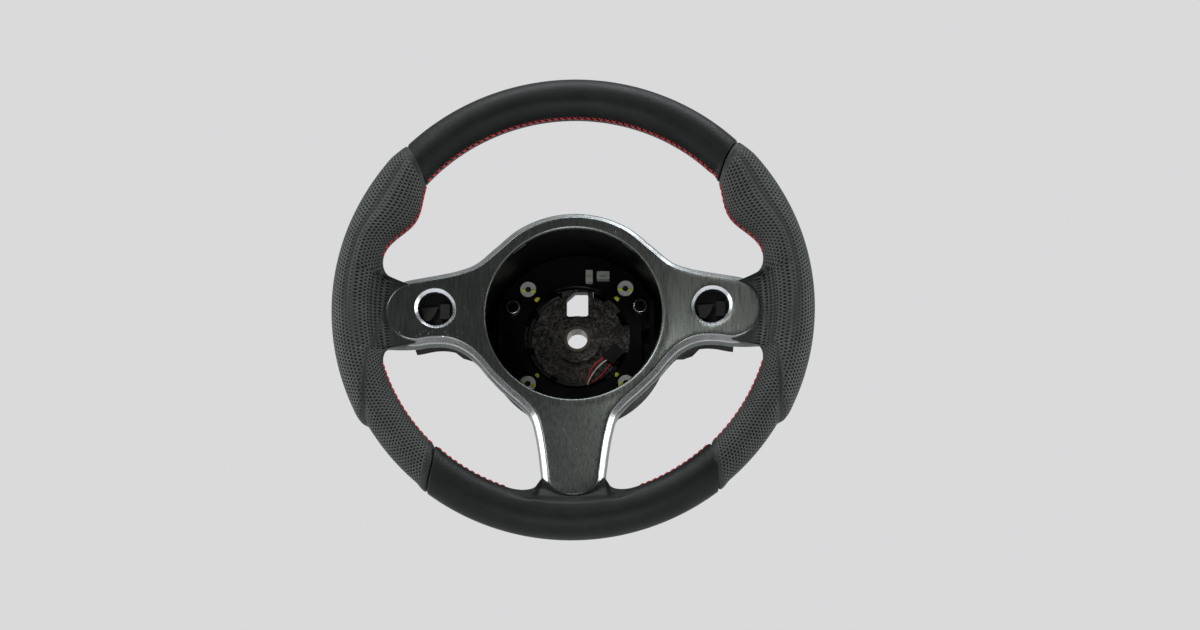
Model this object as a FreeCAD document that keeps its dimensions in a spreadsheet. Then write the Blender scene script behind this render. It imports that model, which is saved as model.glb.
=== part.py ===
import FreeCAD, Part
import Sketcher
import math
import os
from FreeCAD import Placement, Rotation, Vector

# Three-spoke leather-wrapped steering wheel with an open hub pocket.
# Frame, in millimetres: the column axis is Y, the driver sits on the -Y side, +Z points to
# twelve o'clock and +X to the driver's right. The origin is the centre of the column bore on
# the nut face of the hub.

DIMENSIONS = [
    ("rim_outer_radius", 190.0, "over the leather"),
    ("rim_inner_radius", 156.5, "over the leather, plain stretch"),
    ("rim_half_depth", 16.5, "half the rim section along the column axis"),
    ("dish", 102.0, "rim mid-plane ahead of the nut face"),
    ("foam_skin", 2.6, "leather and its backing over the foam"),
    ("ring_bar_radius", 7.0, "cast ring inside the foam"),
    ("bump_radius", 144.8, "inner radius at the crest of a thumb rest"),
    ("grip_bulge", 1.0, "extra outer radius of the side grips"),
    ("grip_waist", 1.5, "outer radius lost below the side grips"),
    ("upper_seam_angle", 43.5, "from three o'clock"),
    ("lower_seam_angle", 49.0, "from three o'clock, downwards"),
    ("web_inner_x", 128.0, "where the leather of a side spoke ends"),
    ("web_foot_z", 139.0, "where the leather of the lower spoke ends"),
    ("bezel_front", 80.0, "bezel face ahead of the nut face, at the hub"),
    ("bezel_flat_radius", 75.0, "the face is flat to here, then a cone"),
    ("bezel_slope", 0.19, "rise of the face per unit of radius"),
    ("bezel_wall", 2.4, "sheet thickness"),
    ("bezel_skirt", 12.0, "depth of the turned edge"),
        ("hub_opening_radius", 71.0, "round opening for the airbag module"),
    ("switch_x", 111.0, "centre of a switch hole"),
    ("switch_z", 3.0, "centre of a switch hole"),
    ("switch_hole_radius", 13.7, ""),
    ("switch_collar_length", 8.0, "tube behind each switch hole"),
    ("cover_wall", 2.5, "rear cover thickness"),
    ("cover_front_radius", 84.5, "hub bowl at the bezel"),
    ("cover_back_radius", 67.0, "hub bowl at the back"),
    ("cover_shoulder", 14.0, "depth of the sloping shoulder in front of that"),
    ("cover_shoulder_step", 8.8, "how much wider the bowl is at the shoulder"),
    ("cover_back", 20.0, "back of the hub bowl behind the nut face"),
    ("column_clearance_radius", 34.0, "opening for the column shroud"),
    ("pocket_radius", 72.1, "bore of the hub pocket"),
    ("pocket_wall", 1.0, ""),
    ("pocket_floor_front", 1.0, "behind the nut face"),
    ("pocket_floor", 2.3, "floor thickness"),
    ("bore_radius", 8.5, "column bore"),
    ("bore_length", 18.0, ""),
    ("insert_radius", 11.0, "steel insert"),
    ("boss_radius", 20.0, "cast boss round the insert"),
    ("plate_front", 4.0, "armature plate behind the nut face"),
    ("plate_thickness", 9.0, ""),
    ("plate_radius", 39.0, ""),
    ("window_width", 18.0, "wiring window"),
    ("window_height", 21.0, ""),
    ("window_z", 31.0, ""),
    ("window_notch", 6.5, "cut corner"),
    ("screw_offset", 40.5, "screws on a square, half spacing"),
    ("screw_boss_radius", 9.0, ""),
    ("head_radius", 6.6, ""),
    ("head_height", 4.0, ""),
    ("socket_radius", 2.7, ""),
    ("shank_radius", 4.0, ""),
    ("thread_radius", 3.0, ""),
    ("thread_depth", 8.0, ""),
    ("carrier_front", 5.5, "carrier plate ahead of the nut face"),
    ("carrier_thickness", 3.5, ""),
    ("carrier_radius", 70.3, ""),
    ("carrier_half_width", 64.5, ""),
    ("carrier_opening_radius", 44.0, ""),
    ("carrier_wall_front", 22.0, "side walls ahead of the nut face"),
    ("carrier_wall", 4.0, ""),
    ("bush_radius", 6.4, ""),
    ("running_gap", 0.1, "bush over shank"),
    ("post_x", 52.8, "return spring post"),
    ("post_z", 24.0, ""),
    ("post_radius", 4.2, ""),
    ("post_front", 17.0, "ahead of the nut face"),
    ("coil_radius", 5.1, "return spring, to the wire's centre"),
    ("coil_wire", 0.75, "wire radius"),
    ("clip_recess_x", 60.0, ""),
    ("clip_recess_radius", 7.0, ""),
    ("horn_travel", 1.6, "carrier stroke towards the armature"),
    ("sleeve_route_radius", 40.0, "arc of the wiring sleeve round the bore"),
    ("sleeve_radius", 2.0, ""),
    ("wire_radius", 0.65, ""),
]

doc = FreeCAD.newDocument("steering_wheel")
sheet = doc.addObject("Spreadsheet::Sheet", "Dimensions")
for row, (alias, value, note) in enumerate(DIMENSIONS, start=1):
    sheet.set(f"A{row}", alias)
    sheet.set(f"B{row}", str(value))
    sheet.set(f"C{row}", note)
    sheet.setAlias(f"B{row}", alias)
doc.recompute()

subparts = []


def dim(alias):
    """The value of one driving dimension."""
    return float(sheet.get(alias))


def bind(thing, **expressions):
    """Bind properties of a document object to expressions on the sheet."""
    for name, expression in expressions.items():
        thing.setExpression(name.replace("__", "."), expression)


def cell(alias):
    return f"Dimensions.{alias}"


def keep(thing, label):
    """Name a finished sub-part."""
    thing.Label = label
    subparts.append(thing)
    return thing


def shape_part(label, shape):
    """A sub-part whose shape is worked out from the sheet."""
    thing = doc.addObject("Part::Feature", label)
    place = shape.Placement
    thing.Shape = shape
    thing.Placement = place
    return keep(thing, label)


# ---------------------------------------------------------------- plain solids


def cylinder(radius, start_y, end_y, x=0.0, z=0.0):
    """A cylinder along the column axis."""
    return Part.makeCylinder(radius, end_y - start_y, Vector(x, start_y, z), Vector(0, 1, 0))


def tube(outer, inner, start_y, end_y, x=0.0, z=0.0):
    return cylinder(outer, start_y, end_y, x, z).cut(cylinder(inner, start_y - 1, end_y + 1, x, z))


def box(x_range, y_range, z_range):
    size = [high - low for low, high in (x_range, y_range, z_range)]
    return Part.makeBox(*size, Vector(x_range[0], y_range[0], z_range[0]))


def rounded_block(x_range, y_range, z_range, radius):
    """A block whose four edges along the column axis are rounded."""
    block = box(x_range, y_range, z_range)
    along = [edge for edge in block.Edges if abs(edge.tangentAt(edge.FirstParameter).y) > 0.99]
    return block.makeFillet(radius, along)


def slab(points, direction):
    """A flat polygon pushed along a direction."""
    wire = Part.makePolygon([Vector(*point) for point in points + points[:1]])
    return Part.Face(wire).extrude(Vector(*direction))


def about_axis(profile):
    """Turn a closed profile of (radius, y) points about the column axis."""
    wire = Part.makePolygon([Vector(radius, y, 0) for radius, y in profile + profile[:1]])
    return Part.Face(wire).revolve(Vector(0, 0, 0), Vector(0, 1, 0), 360)


def mirrored_x(shape):
    return shape.mirror(Vector(0, 0, 0), Vector(1, 0, 0))


def both_sides(shape):
    return [shape, mirrored_x(shape)]


def at_screws(make):
    """One solid at each of the four screw places."""
    offset = dim("screw_offset")
    return [make(sx * offset, sz * offset) for sx in (-1, 1) for sz in (-1, 1)]


def joined(shapes):
    whole = shapes[0].multiFuse(shapes[1:]) if len(shapes) > 1 else shapes[0]
    return whole.removeSplitter()


def pipe(path_edges, radius):
    """A round bar along straight and arc edges."""
    path = Part.Wire(path_edges)
    start = path_edges[0]
    along = start.tangentAt(start.FirstParameter)
    section = Part.Wire(Part.makeCircle(radius, start.valueAt(start.FirstParameter), along))
    return path.makePipeShell([section], True, True)


# ---------------------------------------------------------------- spoke outline

HUB_ARC = (82.5, (90, 74, 58, 42))
TIP_ARC = (26.0, (126.0, -0.8), (66, 40, 10, -20, -50))
UPPER_EDGE = [(78.3, 40.5), (92.0, 34.5), (108.0, 30.2), (122.0, 27.0)]
LOWER_EDGE = [(130.0, -25.8), (116.0, -23.6), (103.0, -23.0), (93.3, -25.2), (83.4, -30.4)]
NECK_EDGE = [(75.4, -37.8), (65.1, -50.2), (52.3, -62.8), (40.0, -74.0), (31.6, -85.0)]
TONGUE_EDGE = [(27.6, -98.5), (24.8, -114.7), (22.8, -131.0), (20.6, -144.0), (12.5, -151.5)]
TONGUE_FOOT = (0.0, -154.5)


def polar(radius, degrees, centre=(0.0, 0.0)):
    angle = math.radians(degrees)
    return (centre[0] + radius * math.cos(angle), centre[1] + radius * math.sin(angle))


def half_outline():
    """Right half of the spoke outline as (x, z), from the top of the hub to the lower foot."""
    points = [polar(HUB_ARC[0], angle) for angle in HUB_ARC[1]]
    points += UPPER_EDGE
    points += [polar(TIP_ARC[0], angle, TIP_ARC[1]) for angle in TIP_ARC[2]]
    return points + LOWER_EDGE + NECK_EDGE + TONGUE_EDGE + [TONGUE_FOOT]


def spoke_wire(grow, y):
    """The closed spoke outline at one depth, moved outwards by a distance."""
    half = half_outline()
    points = half + [(-x, z) for x, z in reversed(half[1:-1])]
    moved = []
    for index, (x, z) in enumerate(points):
        before = points[index - 1]
        after = points[(index + 1) % len(points)]
        run = (after[0] - before[0], after[1] - before[1])
        length = math.hypot(*run)
        moved.append(Vector(x - grow * run[1] / length, y, z + grow * run[0] / length))
    curve = Part.BSplineCurve()
    curve.interpolate(moved, PeriodicFlag=True)
    return Part.Wire(curve.toShape())


def spoke_block(front, back):
    """The spoke outline lofted between two (grow, y) stations."""
    return Part.makeLoft([spoke_wire(*front), spoke_wire(*back)], True, True)


def bezel_face(shift, far_y):
    """The space between the bezel's face, moved back by a shift, and a plane."""
    flat = dim("bezel_flat_radius")
    hub_y = shift - dim("bezel_front")
    edge_radius = 170.0
    edge_y = hub_y - dim("bezel_slope") * (edge_radius - flat)
    return about_axis([(0, hub_y), (flat, hub_y), (edge_radius, edge_y),
                       (edge_radius, far_y), (0, far_y)])


# ---------------------------------------------------------------- rim


def inner_radius_at(angle):
    """Inner radius of a side grip: a thumb rest stands inwards near thirty degrees."""
    plain = dim("rim_inner_radius") + 1.0
    height = plain - dim("bump_radius")
    reach = 15.0 if angle > 30.0 else 14.0
    share = max(0.0, 1.0 - abs(angle - 30.0) / reach)
    return plain - height * math.sin(share * math.pi / 2) ** 2


def outer_radius_at(angle):
    """Outer radius of a side grip, which narrows below thirty degrees under the spoke."""
    high = dim("rim_outer_radius") + dim("grip_bulge")
    low = dim("rim_outer_radius") - dim("grip_waist")
    share = min(1.0, max(0.0, (-26.0 - angle) / 8.0))
    return high + (low - high) * share


def rim_section(inner, outer, angle, half_depth):
    """An oval rim section on the plane through the column axis at one angle."""
    half_width = (outer - inner) / 2
    centre = Vector((outer + inner) / 2, -dim("dish"), 0)
    if half_width >= half_depth:
        major, minor = centre + Vector(half_width, 0, 0), centre + Vector(0, half_depth, 0)
    else:
        major, minor = centre + Vector(0, half_depth, 0), centre + Vector(half_width, 0, 0)
    wire = Part.Wire(Part.Ellipse(major, minor, centre).toShape())
    wire.rotate(Vector(0, 0, 0), Vector(0, -1, 0), angle)
    return wire


def rim_arc(inner, outer, half_depth, start, sweep):
    """A plain stretch of rim, turned about the column axis."""
    face = Part.Face(rim_section(inner, outer, start, half_depth))
    return face.revolve(Vector(0, 0, 0), Vector(0, -1, 0), sweep)


def side_grip():
    """The right-hand grip between its two seams."""
    start = dim("upper_seam_angle")
    end = -dim("lower_seam_angle")
    steps = 18
    sections = []
    for index in range(steps + 1):
        angle = start + (end - start) * index / steps
        sections.append(rim_section(inner_radius_at(angle), outer_radius_at(angle), angle,
                                    dim("rim_half_depth")))
    return Part.makeLoft(sections, True, False)


def foam_ring():
    skin = dim("foam_skin")
    inner = dim("rim_inner_radius") + skin
    outer = dim("rim_outer_radius") - dim("grip_waist") - skin
    half_depth = dim("rim_half_depth") - skin
    face = Part.Face(rim_section(inner, outer, 0.0, half_depth))
    return face.revolve(Vector(0, 0, 0), Vector(0, 1, 0), 360)


WEB_SIDE_Z = (-34.0, 27.0)
WEB_FOOT_X = (-30.0, 30.0)
WEB_FRONT_Y = -89.5
WEB_BACK_Y = -57.5
WEB_SKIN = 2.5


def spoke_root(start, low, high, shrink):
    """Padded root of a spoke: it starts at a radius and runs into the back of the rim."""
    inside = dim("rim_inner_radius")
    front = WEB_FRONT_Y + shrink
    back = WEB_BACK_Y - shrink
    profile = [(start, front), (inside - 4.0, front - 1.0), (inside + 7.0, -104.0),
               (inside + 15.0, -100.0), (inside + 12.0, -89.0), (start + 14.0, back - 4.5),
               (start, back)]
    corners = [(radius, y, low + shrink) for radius, y in profile]
    return slab(corners, (0, 0, high - low - 2 * shrink))


def side_web(shrink):
    """Root of the right-hand spoke between the rim and the rear cover."""
    return spoke_root(dim("web_inner_x") + 0.2, *WEB_SIDE_Z, shrink)


def foot_web(shrink):
    """Root of the lower spoke."""
    root = spoke_root(dim("web_foot_z") + 0.2, *WEB_FOOT_X, shrink)
    root.rotate(Vector(0, 0, 0), Vector(0, 1, 0), 90)
    return root


# ---------------------------------------------------------------- armature

BAR_ROUTE = [(30.0, 8.5), (81.0, 8.5), (95.0, -30.0), (110.0, -57.0), (150.0, -79.0)]
BAR_THICKNESS = 9.0
BAR_HALF_WIDTH = 10.0
LUG_X = 47.0
LUG_Z = (-11.0, 12.0)


def bent_bar(route, half_width):
    """A flat bar along a bent route of (radius, y) points, lying in the X direction."""
    pieces = []
    for (r0, y0), (r1, y1) in zip(route, route[1:]):
        run = Vector(r1 - r0, y1 - y0, 0)
        side = Vector(-run.y, run.x, 0).normalize() * (BAR_THICKNESS / 2)
        corners = [Vector(r0, y0, 0) + side, Vector(r1, y1, 0) + side,
                   Vector(r1, y1, 0) - side, Vector(r0, y0, 0) - side]
        pieces.append(slab([(p.x, p.y, -half_width) for p in corners], (0, 0, 2 * half_width)))
        knuckle = Part.makeCylinder(BAR_THICKNESS / 2, 2 * half_width,
                                    Vector(r1, y1, -half_width))
        pieces.append(knuckle)
    return joined(pieces)


def ring_route_radius():
    """Radius of the ring's centre line, in the middle of the waisted grip."""
    return (dim("rim_outer_radius") - dim("grip_waist") + dim("rim_inner_radius")) / 2


def ring_shape():
    """The round bar inside the rim."""
    centre = Vector(0, -dim("dish"), 0)
    return Part.makeTorus(ring_route_radius(), dim("ring_bar_radius"), centre, Vector(0, 1, 0))


def armature_shape(ring):
    """Die-cast hub plate with three spoke bars that end on the ring."""
    front = dim("plate_front")
    back = front + dim("plate_thickness")
    route = BAR_ROUTE + [(ring_route_radius(), -dim("dish"))]
    bar = bent_bar(route, BAR_HALF_WIDTH)
    foot = bar.copy()
    foot.rotate(Vector(0, 0, 0), Vector(0, 1, 0), 90)
    pieces = [cylinder(dim("plate_radius"), front, back), cylinder(dim("boss_radius"), 1.0, back)]
    pieces += at_screws(lambda x, z: cylinder(dim("screw_boss_radius"), front, back, x, z))
    for sign in (-1, 1):
        arm = box((-52.0, 52.0), (front + 2.0, back), (-7.0, 7.0))
        arm.rotate(Vector(0, 0, 0), Vector(0, 1, 0), 45.0 * sign)
        pieces.append(arm)
    pieces.append(box((-LUG_X, LUG_X), (front, back), LUG_Z))
    pieces.append(window_frame(front, back))
    pieces += both_sides(bar) + [foot]
    return joined(pieces).cut(armature_openings(front, back) + [ring])


def window_frame(front, back):
    """The part of the plate that reaches out round the wiring window."""
    half_width = dim("window_width") / 2 + 4.0
    top = dim("window_z") + dim("window_height") / 2 + 4.5
    return rounded_block((-half_width, half_width), (front, back), (18.0, top), 3.0)


def armature_openings(front, back):
    """Insert seat, wiring window with one cut corner, and the four tapped holes."""
    half_width = dim("window_width") / 2
    low = dim("window_z") - dim("window_height") / 2
    high = low + dim("window_height")
    window = rounded_block((-half_width, half_width), (front - 5, back + 1), (low, high), 2.0)
    notch = dim("window_notch")
    corner = slab([(-half_width, front - 6, high), (-half_width + notch * 1.1, front - 6, high),
                   (-half_width, front - 6, high - notch)], (0, back - front + 8, 0))
    openings = [window.cut(corner), cylinder(dim("insert_radius"), -1, back + 6)]
    depth = front + dim("thread_depth")
    openings += at_screws(lambda x, z: cylinder(dim("thread_radius"), front - 1, depth, x, z))
    return openings


ring = ring_shape()
armature = armature_shape(ring)
foam_body = foam_ring().multiFuse(both_sides(side_web(WEB_SKIN)) + [foot_web(WEB_SKIN)])
foam_body = foam_body.removeSplitter()
armature_part = shape_part("armature", armature)
shape_part("rim_ring", ring)
shape_part("rim_foam", foam_body.cut([armature, ring]))


def leather_shapes():
    """Leather over the foam, in four pieces that meet at the seams."""
    upper = dim("upper_seam_angle")
    lower = dim("lower_seam_angle")
    inner = dim("rim_inner_radius")
    outer = dim("rim_outer_radius")
    half_depth = dim("rim_half_depth")
    top = rim_arc(inner, outer, half_depth, upper, 180.0 - 2 * upper)
    bottom = rim_arc(inner, outer, half_depth, 180.0 + lower, 180.0 - 2 * lower)
    bottom = bottom.fuse(foot_web(0.0))
    right = side_grip().fuse(side_web(0.0))
    pieces = {"leather_top": top, "leather_bottom": bottom, "leather_right": right,
              "leather_left": mirrored_x(right)}
    return {name: shape.cut([foam_body, armature]) for name, shape in pieces.items()}


leathers = leather_shapes()
for name, shape in leathers.items():
    shape_part(name, shape)

# ---------------------------------------------------------------- steel insert


def origin_plane(body, role):
    return next(item for item in body.Origin.OriginFeatures if item.Role == role)


def column_sketch(body, name, ahead):
    """A sketch square to the column axis, a sheet distance ahead of the nut face."""
    sketch = body.newObject("Sketcher::SketchObject", name)
    sketch.AttachmentSupport = [(origin_plane(body, "XZ_Plane"), "")]
    sketch.MapMode = "FlatFace"
    sketch.setExpression("AttachmentOffset.Base.z", ahead)
    return sketch


def sketch_circle(sketch, radius, x=None, z=None):
    """A circle whose radius, and centre if given, are bound to the sheet."""
    index = sketch.addGeometry(Part.Circle(Vector(0, 0, 0), Vector(0, 0, 1), 5.0), False)
    if x is None:
        sketch.addConstraint(Sketcher.Constraint("Coincident", index, 3, -1, 1))
    else:
        for kind, place in (("DistanceX", x), ("DistanceY", z)):
            constraint = sketch.addConstraint(Sketcher.Constraint(kind, -1, 1, index, 3, 1.0))
            sketch.setExpression(f"Constraints[{constraint}]", place)
    constraint = sketch.addConstraint(Sketcher.Constraint("Radius", index, 5.0))
    sketch.setExpression(f"Constraints[{constraint}]", radius)
    return index


def pad(body, sketch, name, length, backwards=True):
    feature = body.newObject("PartDesign::Pad", name)
    feature.Profile = sketch
    feature.Reversed = backwards
    feature.setExpression("Length", length)
    return feature


def make_spline_insert():
    body = doc.addObject("PartDesign::Body", "SplineInsert")
    sketch = column_sketch(body, "InsertRing", "0 mm")
    sketch_circle(sketch, cell("insert_radius"))
    sketch_circle(sketch, cell("bore_radius"))
    pad(body, sketch, "InsertPad", cell("bore_length"))
    return keep(body, "spline_insert")


make_spline_insert()

# ---------------------------------------------------------------- bezel and rear cover

FACE_FRONT_Y = -99.0
SKIRT_BACK_Y = -62.0
SKIRT_GROW = (-3.2, 4.2)


def switch_places():
    return [(sign * dim("switch_x"), dim("switch_z")) for sign in (-1, 1)]


def bezel_shape():
    """Formed face with a turned edge, a round hub opening and two collared switch holes."""
    wall = dim("bezel_wall")
    low, high = SKIRT_GROW
    outer = spoke_block((low, FACE_FRONT_Y), (high, SKIRT_BACK_Y))
    outer = outer.common(bezel_face(0.0, SKIRT_BACK_Y))
    outer = outer.cut(bezel_face(dim("bezel_skirt"), SKIRT_BACK_Y + 5))
    hollow = spoke_block((low - wall, FACE_FRONT_Y), (high - wall, SKIRT_BACK_Y))
    shell = outer.cut(hollow.common(bezel_face(wall, SKIRT_BACK_Y + 5)))
    hole = dim("switch_hole_radius")
    collar_back = dim("switch_collar_length") - dim("bezel_front") - 6.0
    for x, z in switch_places():
        collar = cylinder(hole + 1.9, FACE_FRONT_Y, collar_back, x, z)
        shell = shell.fuse(collar.common(bezel_face(0.0, SKIRT_BACK_Y)))
        shell = shell.cut(cylinder(hole, FACE_FRONT_Y, SKIRT_BACK_Y, x, z))
    shell = shell.cut(cylinder(dim("hub_opening_radius"), FACE_FRONT_Y, SKIRT_BACK_Y))
    return shell.cut(both_sides(side_web(0.0)) + [foot_web(0.0)])


shape_part("spoke_bezel", bezel_shape())

RAMP = [(60.0, 20.0), (88.0, 20.0), (95.5, 10.0), (105.5, -29.0), (129.0, -54.3),
        (129.0, -97.0), (60.0, -97.0)]
RAMP_HALF_WIDTH = 13.5
SPOKE_BACK_Y = -54.3


def cover_block(inset):
    """Hub bowl, spoke backs and the ramps between them, shrunk by an inset."""
    back = dim("cover_back") - inset
    front = -97.0
    radius = dim("cover_front_radius") - inset
    back_radius = dim("cover_back_radius") - inset
    shoulder_y = back - dim("cover_shoulder")
    shoulder_radius = back_radius + dim("cover_shoulder_step")
    bowl = about_axis([(0, front), (radius, front), (shoulder_radius, shoulder_y),
                       (back_radius, back), (0, back)])
    spokes = spoke_block((1.5 - inset, front), (1.5 - inset, SPOKE_BACK_Y - inset))
    half_width = RAMP_HALF_WIDTH - inset
    ramp = slab([(x, y, -half_width) for x, y in RAMP], (0, 0, 2 * half_width))
    ramp.translate(Vector(-inset, -inset, 0))
    foot = ramp.copy()
    foot.rotate(Vector(0, 0, 0), Vector(0, 1, 0), 90)
    return bowl.multiFuse([spokes, foot] + both_sides(ramp))


def cover_screw_places():
    radius = 58.0
    return [polar(radius, angle) for angle in (90, 210, 330)]


def rear_cover_shape():
    """Moulded shell that closes the wheel behind the bezel."""
    wall = dim("cover_wall")
    shell = cover_block(0.0).cut(cover_block(wall))
    reach = dim("web_inner_x")
    envelope = box((-reach, reach), (-110, 40), (-dim("web_foot_z"), 110))
    shell = shell.common(envelope).common(bezel_face(dim("bezel_skirt") + 0.1, 40.0))
    back = dim("cover_back")
    openings = [cylinder(dim("column_clearance_radius"), back - 10, back + 5)]
    slot_top = dim("window_z") + dim("window_height") / 2 + 7.0
    slot_half = dim("window_width") / 2 + 4.0
    openings.append(box((-slot_half, slot_half), (back - 10, back + 5), (0.0, slot_top)))
    openings += [cylinder(2.0, back - 10, back + 5, x, z) for x, z in cover_screw_places()]
    return shell.cut(openings)


shape_part("rear_cover", rear_cover_shape())


def cover_screw(x, z):
    back = dim("cover_back")
    head = cylinder(4.0, back, back + 2.4, x, z)
    shank = cylinder(2.0, back - 12.0, back, x, z)
    recess = cylinder(1.4, back + 1.0, back + 3.0, x, z)
    return head.fuse(shank).cut(recess)


shape_part("cover_screws", Part.makeCompound([cover_screw(x, z) for x, z in cover_screw_places()]))

# ---------------------------------------------------------------- hub pocket

SLEEVE_CLIP_WALL = 1.0
CLIP_ANGLES = (52, 128, 232, 308)
CLIP_SIZE = (13.0, 6.0)
CLIP_Y = (-74.0, -68.0)


def clip_block(angle, inner, outer, trim):
    """A block through the pocket wall at one angle."""
    half = CLIP_SIZE[0] / 2 - trim
    block = box((inner, outer), (CLIP_Y[0] + trim, CLIP_Y[1] - trim), (-half, half))
    block.rotate(Vector(0, 0, 0), Vector(0, -1, 0), angle)
    return block


def hub_pocket_shape():
    """Cylindrical liner with a narrow floor, screw posts and four clip windows."""
    inner = dim("pocket_radius")
    outer = inner + dim("pocket_wall")
    front = dim("bezel_wall") - dim("bezel_front")
    floor_front = dim("pocket_floor_front")
    floor_back = floor_front + dim("pocket_floor")
    back = dim("cover_back") - dim("cover_wall")
    wall = tube(outer, inner, front, floor_back)
    sleeve_reach = dim("sleeve_route_radius") + dim("sleeve_radius") + SLEEVE_CLIP_WALL
    floor = tube(outer, sleeve_reach + 0.3, floor_front, floor_back)
    lugs = box((-LUG_X - 0.5, LUG_X + 0.5), (-1.0, 6.0), (LUG_Z[0] - 0.5, LUG_Z[1] + 0.5))
    wells = at_screws(lambda x, z: cylinder(6.8, floor_front - 1, floor_back + 1, x, z))
    floor = floor.cut([lugs] + wells)
    posts = [cylinder(4.5, floor_back, back, x, z) for x, z in cover_screw_places()]
    bore_start = dim("cover_back") - 12.0
    holes = [cylinder(2.0, bore_start, back + 1, x, z) for x, z in cover_screw_places()]
    windows = [clip_block(angle, inner - 3, outer + 3, 0.0) for angle in CLIP_ANGLES]
    return joined([wall, floor] + posts).cut(holes + windows)


shape_part("hub_pocket", hub_pocket_shape())


def snap_clip(angle):
    """A folded spring clip that sits in a window of the pocket wall."""
    inner = dim("pocket_radius") + 0.3
    outer = inner + dim("pocket_wall") + 0.8
    core = clip_block(angle, inner + 0.7, outer - 0.7, 1.2)
    return clip_block(angle, inner, outer, 0.2).cut(core)


shape_part("bezel_clips", Part.makeCompound([snap_clip(angle) for angle in CLIP_ANGLES]))

# ---------------------------------------------------------------- switch sockets


def switch_socket(x, z):
    """Shallow cup behind a switch hole."""
    radius = dim("switch_hole_radius")
    cup = cylinder(radius + 2.9, -80.8, -72.0, x, z)
    return cup.cut(cylinder(radius + 2.0, -85.0, -73.6, x, z))


def switch_connector(x, z):
    """Pin housing left in the cup, with one raked side."""
    outline = [(-12.0, 3.0), (1.5, 3.5), (-0.5, -2.0), (-5.0, -8.0), (-9.5, -8.5)]
    low = slab([(x + u, -73.6, z + w) for u, w in outline], (0, -3.9, 0))
    tall = rounded_block((x + 3.5, x + 11.0), (-77.8, -73.6), (z - 6.5, z + 6.0), 1.2)
    return Part.makeCompound([low, tall])


for side, (x, z) in zip(("left", "right"), switch_places()):
    shape_part(f"switch_socket_{side}", switch_socket(x, z))
    shape_part(f"switch_connector_{side}", switch_connector(x, z))

# ---------------------------------------------------------------- bound Part objects


def bound_cylinder(name, radius, length, ahead, x="0 mm", z="0 mm"):
    """A cylinder along the column axis whose front is a distance ahead of the nut face."""
    thing = doc.addObject("Part::Cylinder", name)
    thing.Placement = Placement(Vector(), Rotation(Vector(1, 0, 0), -90))
    bind(thing, Radius=radius, Height=length, Placement__Base__x=x,
         Placement__Base__y=f"-({ahead})", Placement__Base__z=z)
    return thing


def bound_box(name, width, depth, height, x, ahead, z):
    thing = doc.addObject("Part::Box", name)
    bind(thing, Length=width, Width=depth, Height=height, Placement__Base__x=x,
         Placement__Base__y=f"-({ahead})", Placement__Base__z=z)
    return thing


def united(name, things):
    whole = doc.addObject("Part::MultiFuse", name)
    whole.Shapes = things
    return whole


def less(name, base, tool):
    rest = doc.addObject("Part::Cut", name)
    rest.Base = base
    rest.Tool = tool
    return rest


def gathered(name, things, label):
    group = doc.addObject("Part::Compound", name)
    group.Links = things
    return keep(group, label)


CORNERS = [(sx, sz) for sx in (-1, 1) for sz in (-1, 1)]


def corner_places():
    offset = cell("screw_offset")
    return [(f"{sx} * {offset}", f"{sz} * {offset}") for sx, sz in CORNERS]


def shoulder_screw(index, x, z):
    """Socket-headed shoulder screw: the carrier slides on its plain shank."""
    seat = f"{cell('carrier_front')} + 0.1"
    head = bound_cylinder(f"Head{index}", cell("head_radius"), cell("head_height"),
                          f"{seat} + {cell('head_height')}", x, z)
    shank = bound_cylinder(f"Shank{index}", cell("shank_radius"),
                           f"{seat} + {cell('plate_front')}", seat, x, z)
    thread = bound_cylinder(f"Thread{index}", cell("thread_radius"), cell("thread_depth"),
                            f"-{cell('plate_front')}", x, z)
    socket = doc.addObject("Part::Prism", f"Socket{index}")
    socket.Placement = Placement(Vector(), Rotation(Vector(1, 0, 0), -90))
    bind(socket, Circumradius=cell("socket_radius"), Height=cell("head_height"),
         Placement__Base__x=x, Placement__Base__z=z,
         Placement__Base__y=f"-({seat} + 1.6 * {cell('head_height')})")
    return less(f"Screw{index}", united(f"Blank{index}", [head, shank, thread]), socket)


gathered("ShoulderScrews", [shoulder_screw(i, x, z) for i, (x, z) in enumerate(corner_places())],
         "shoulder_screws")


def guide_bush(index, x, z):
    outer = bound_cylinder(f"Bush{index}", cell("bush_radius"), cell("carrier_thickness"),
                           cell("carrier_front"), x, z)
    inner = bound_cylinder(f"BushBore{index}", f"{cell('shank_radius')} + {cell('running_gap')}",
                           f"{cell('carrier_thickness')} + 2", f"{cell('carrier_front')} + 1", x, z)
    return less(f"GuideBush{index}", outer, inner)


gathered("GuideBushes", [guide_bush(i, x, z) for i, (x, z) in enumerate(corner_places())],
         "guide_bushes")

# ---------------------------------------------------------------- floating horn carrier


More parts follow.
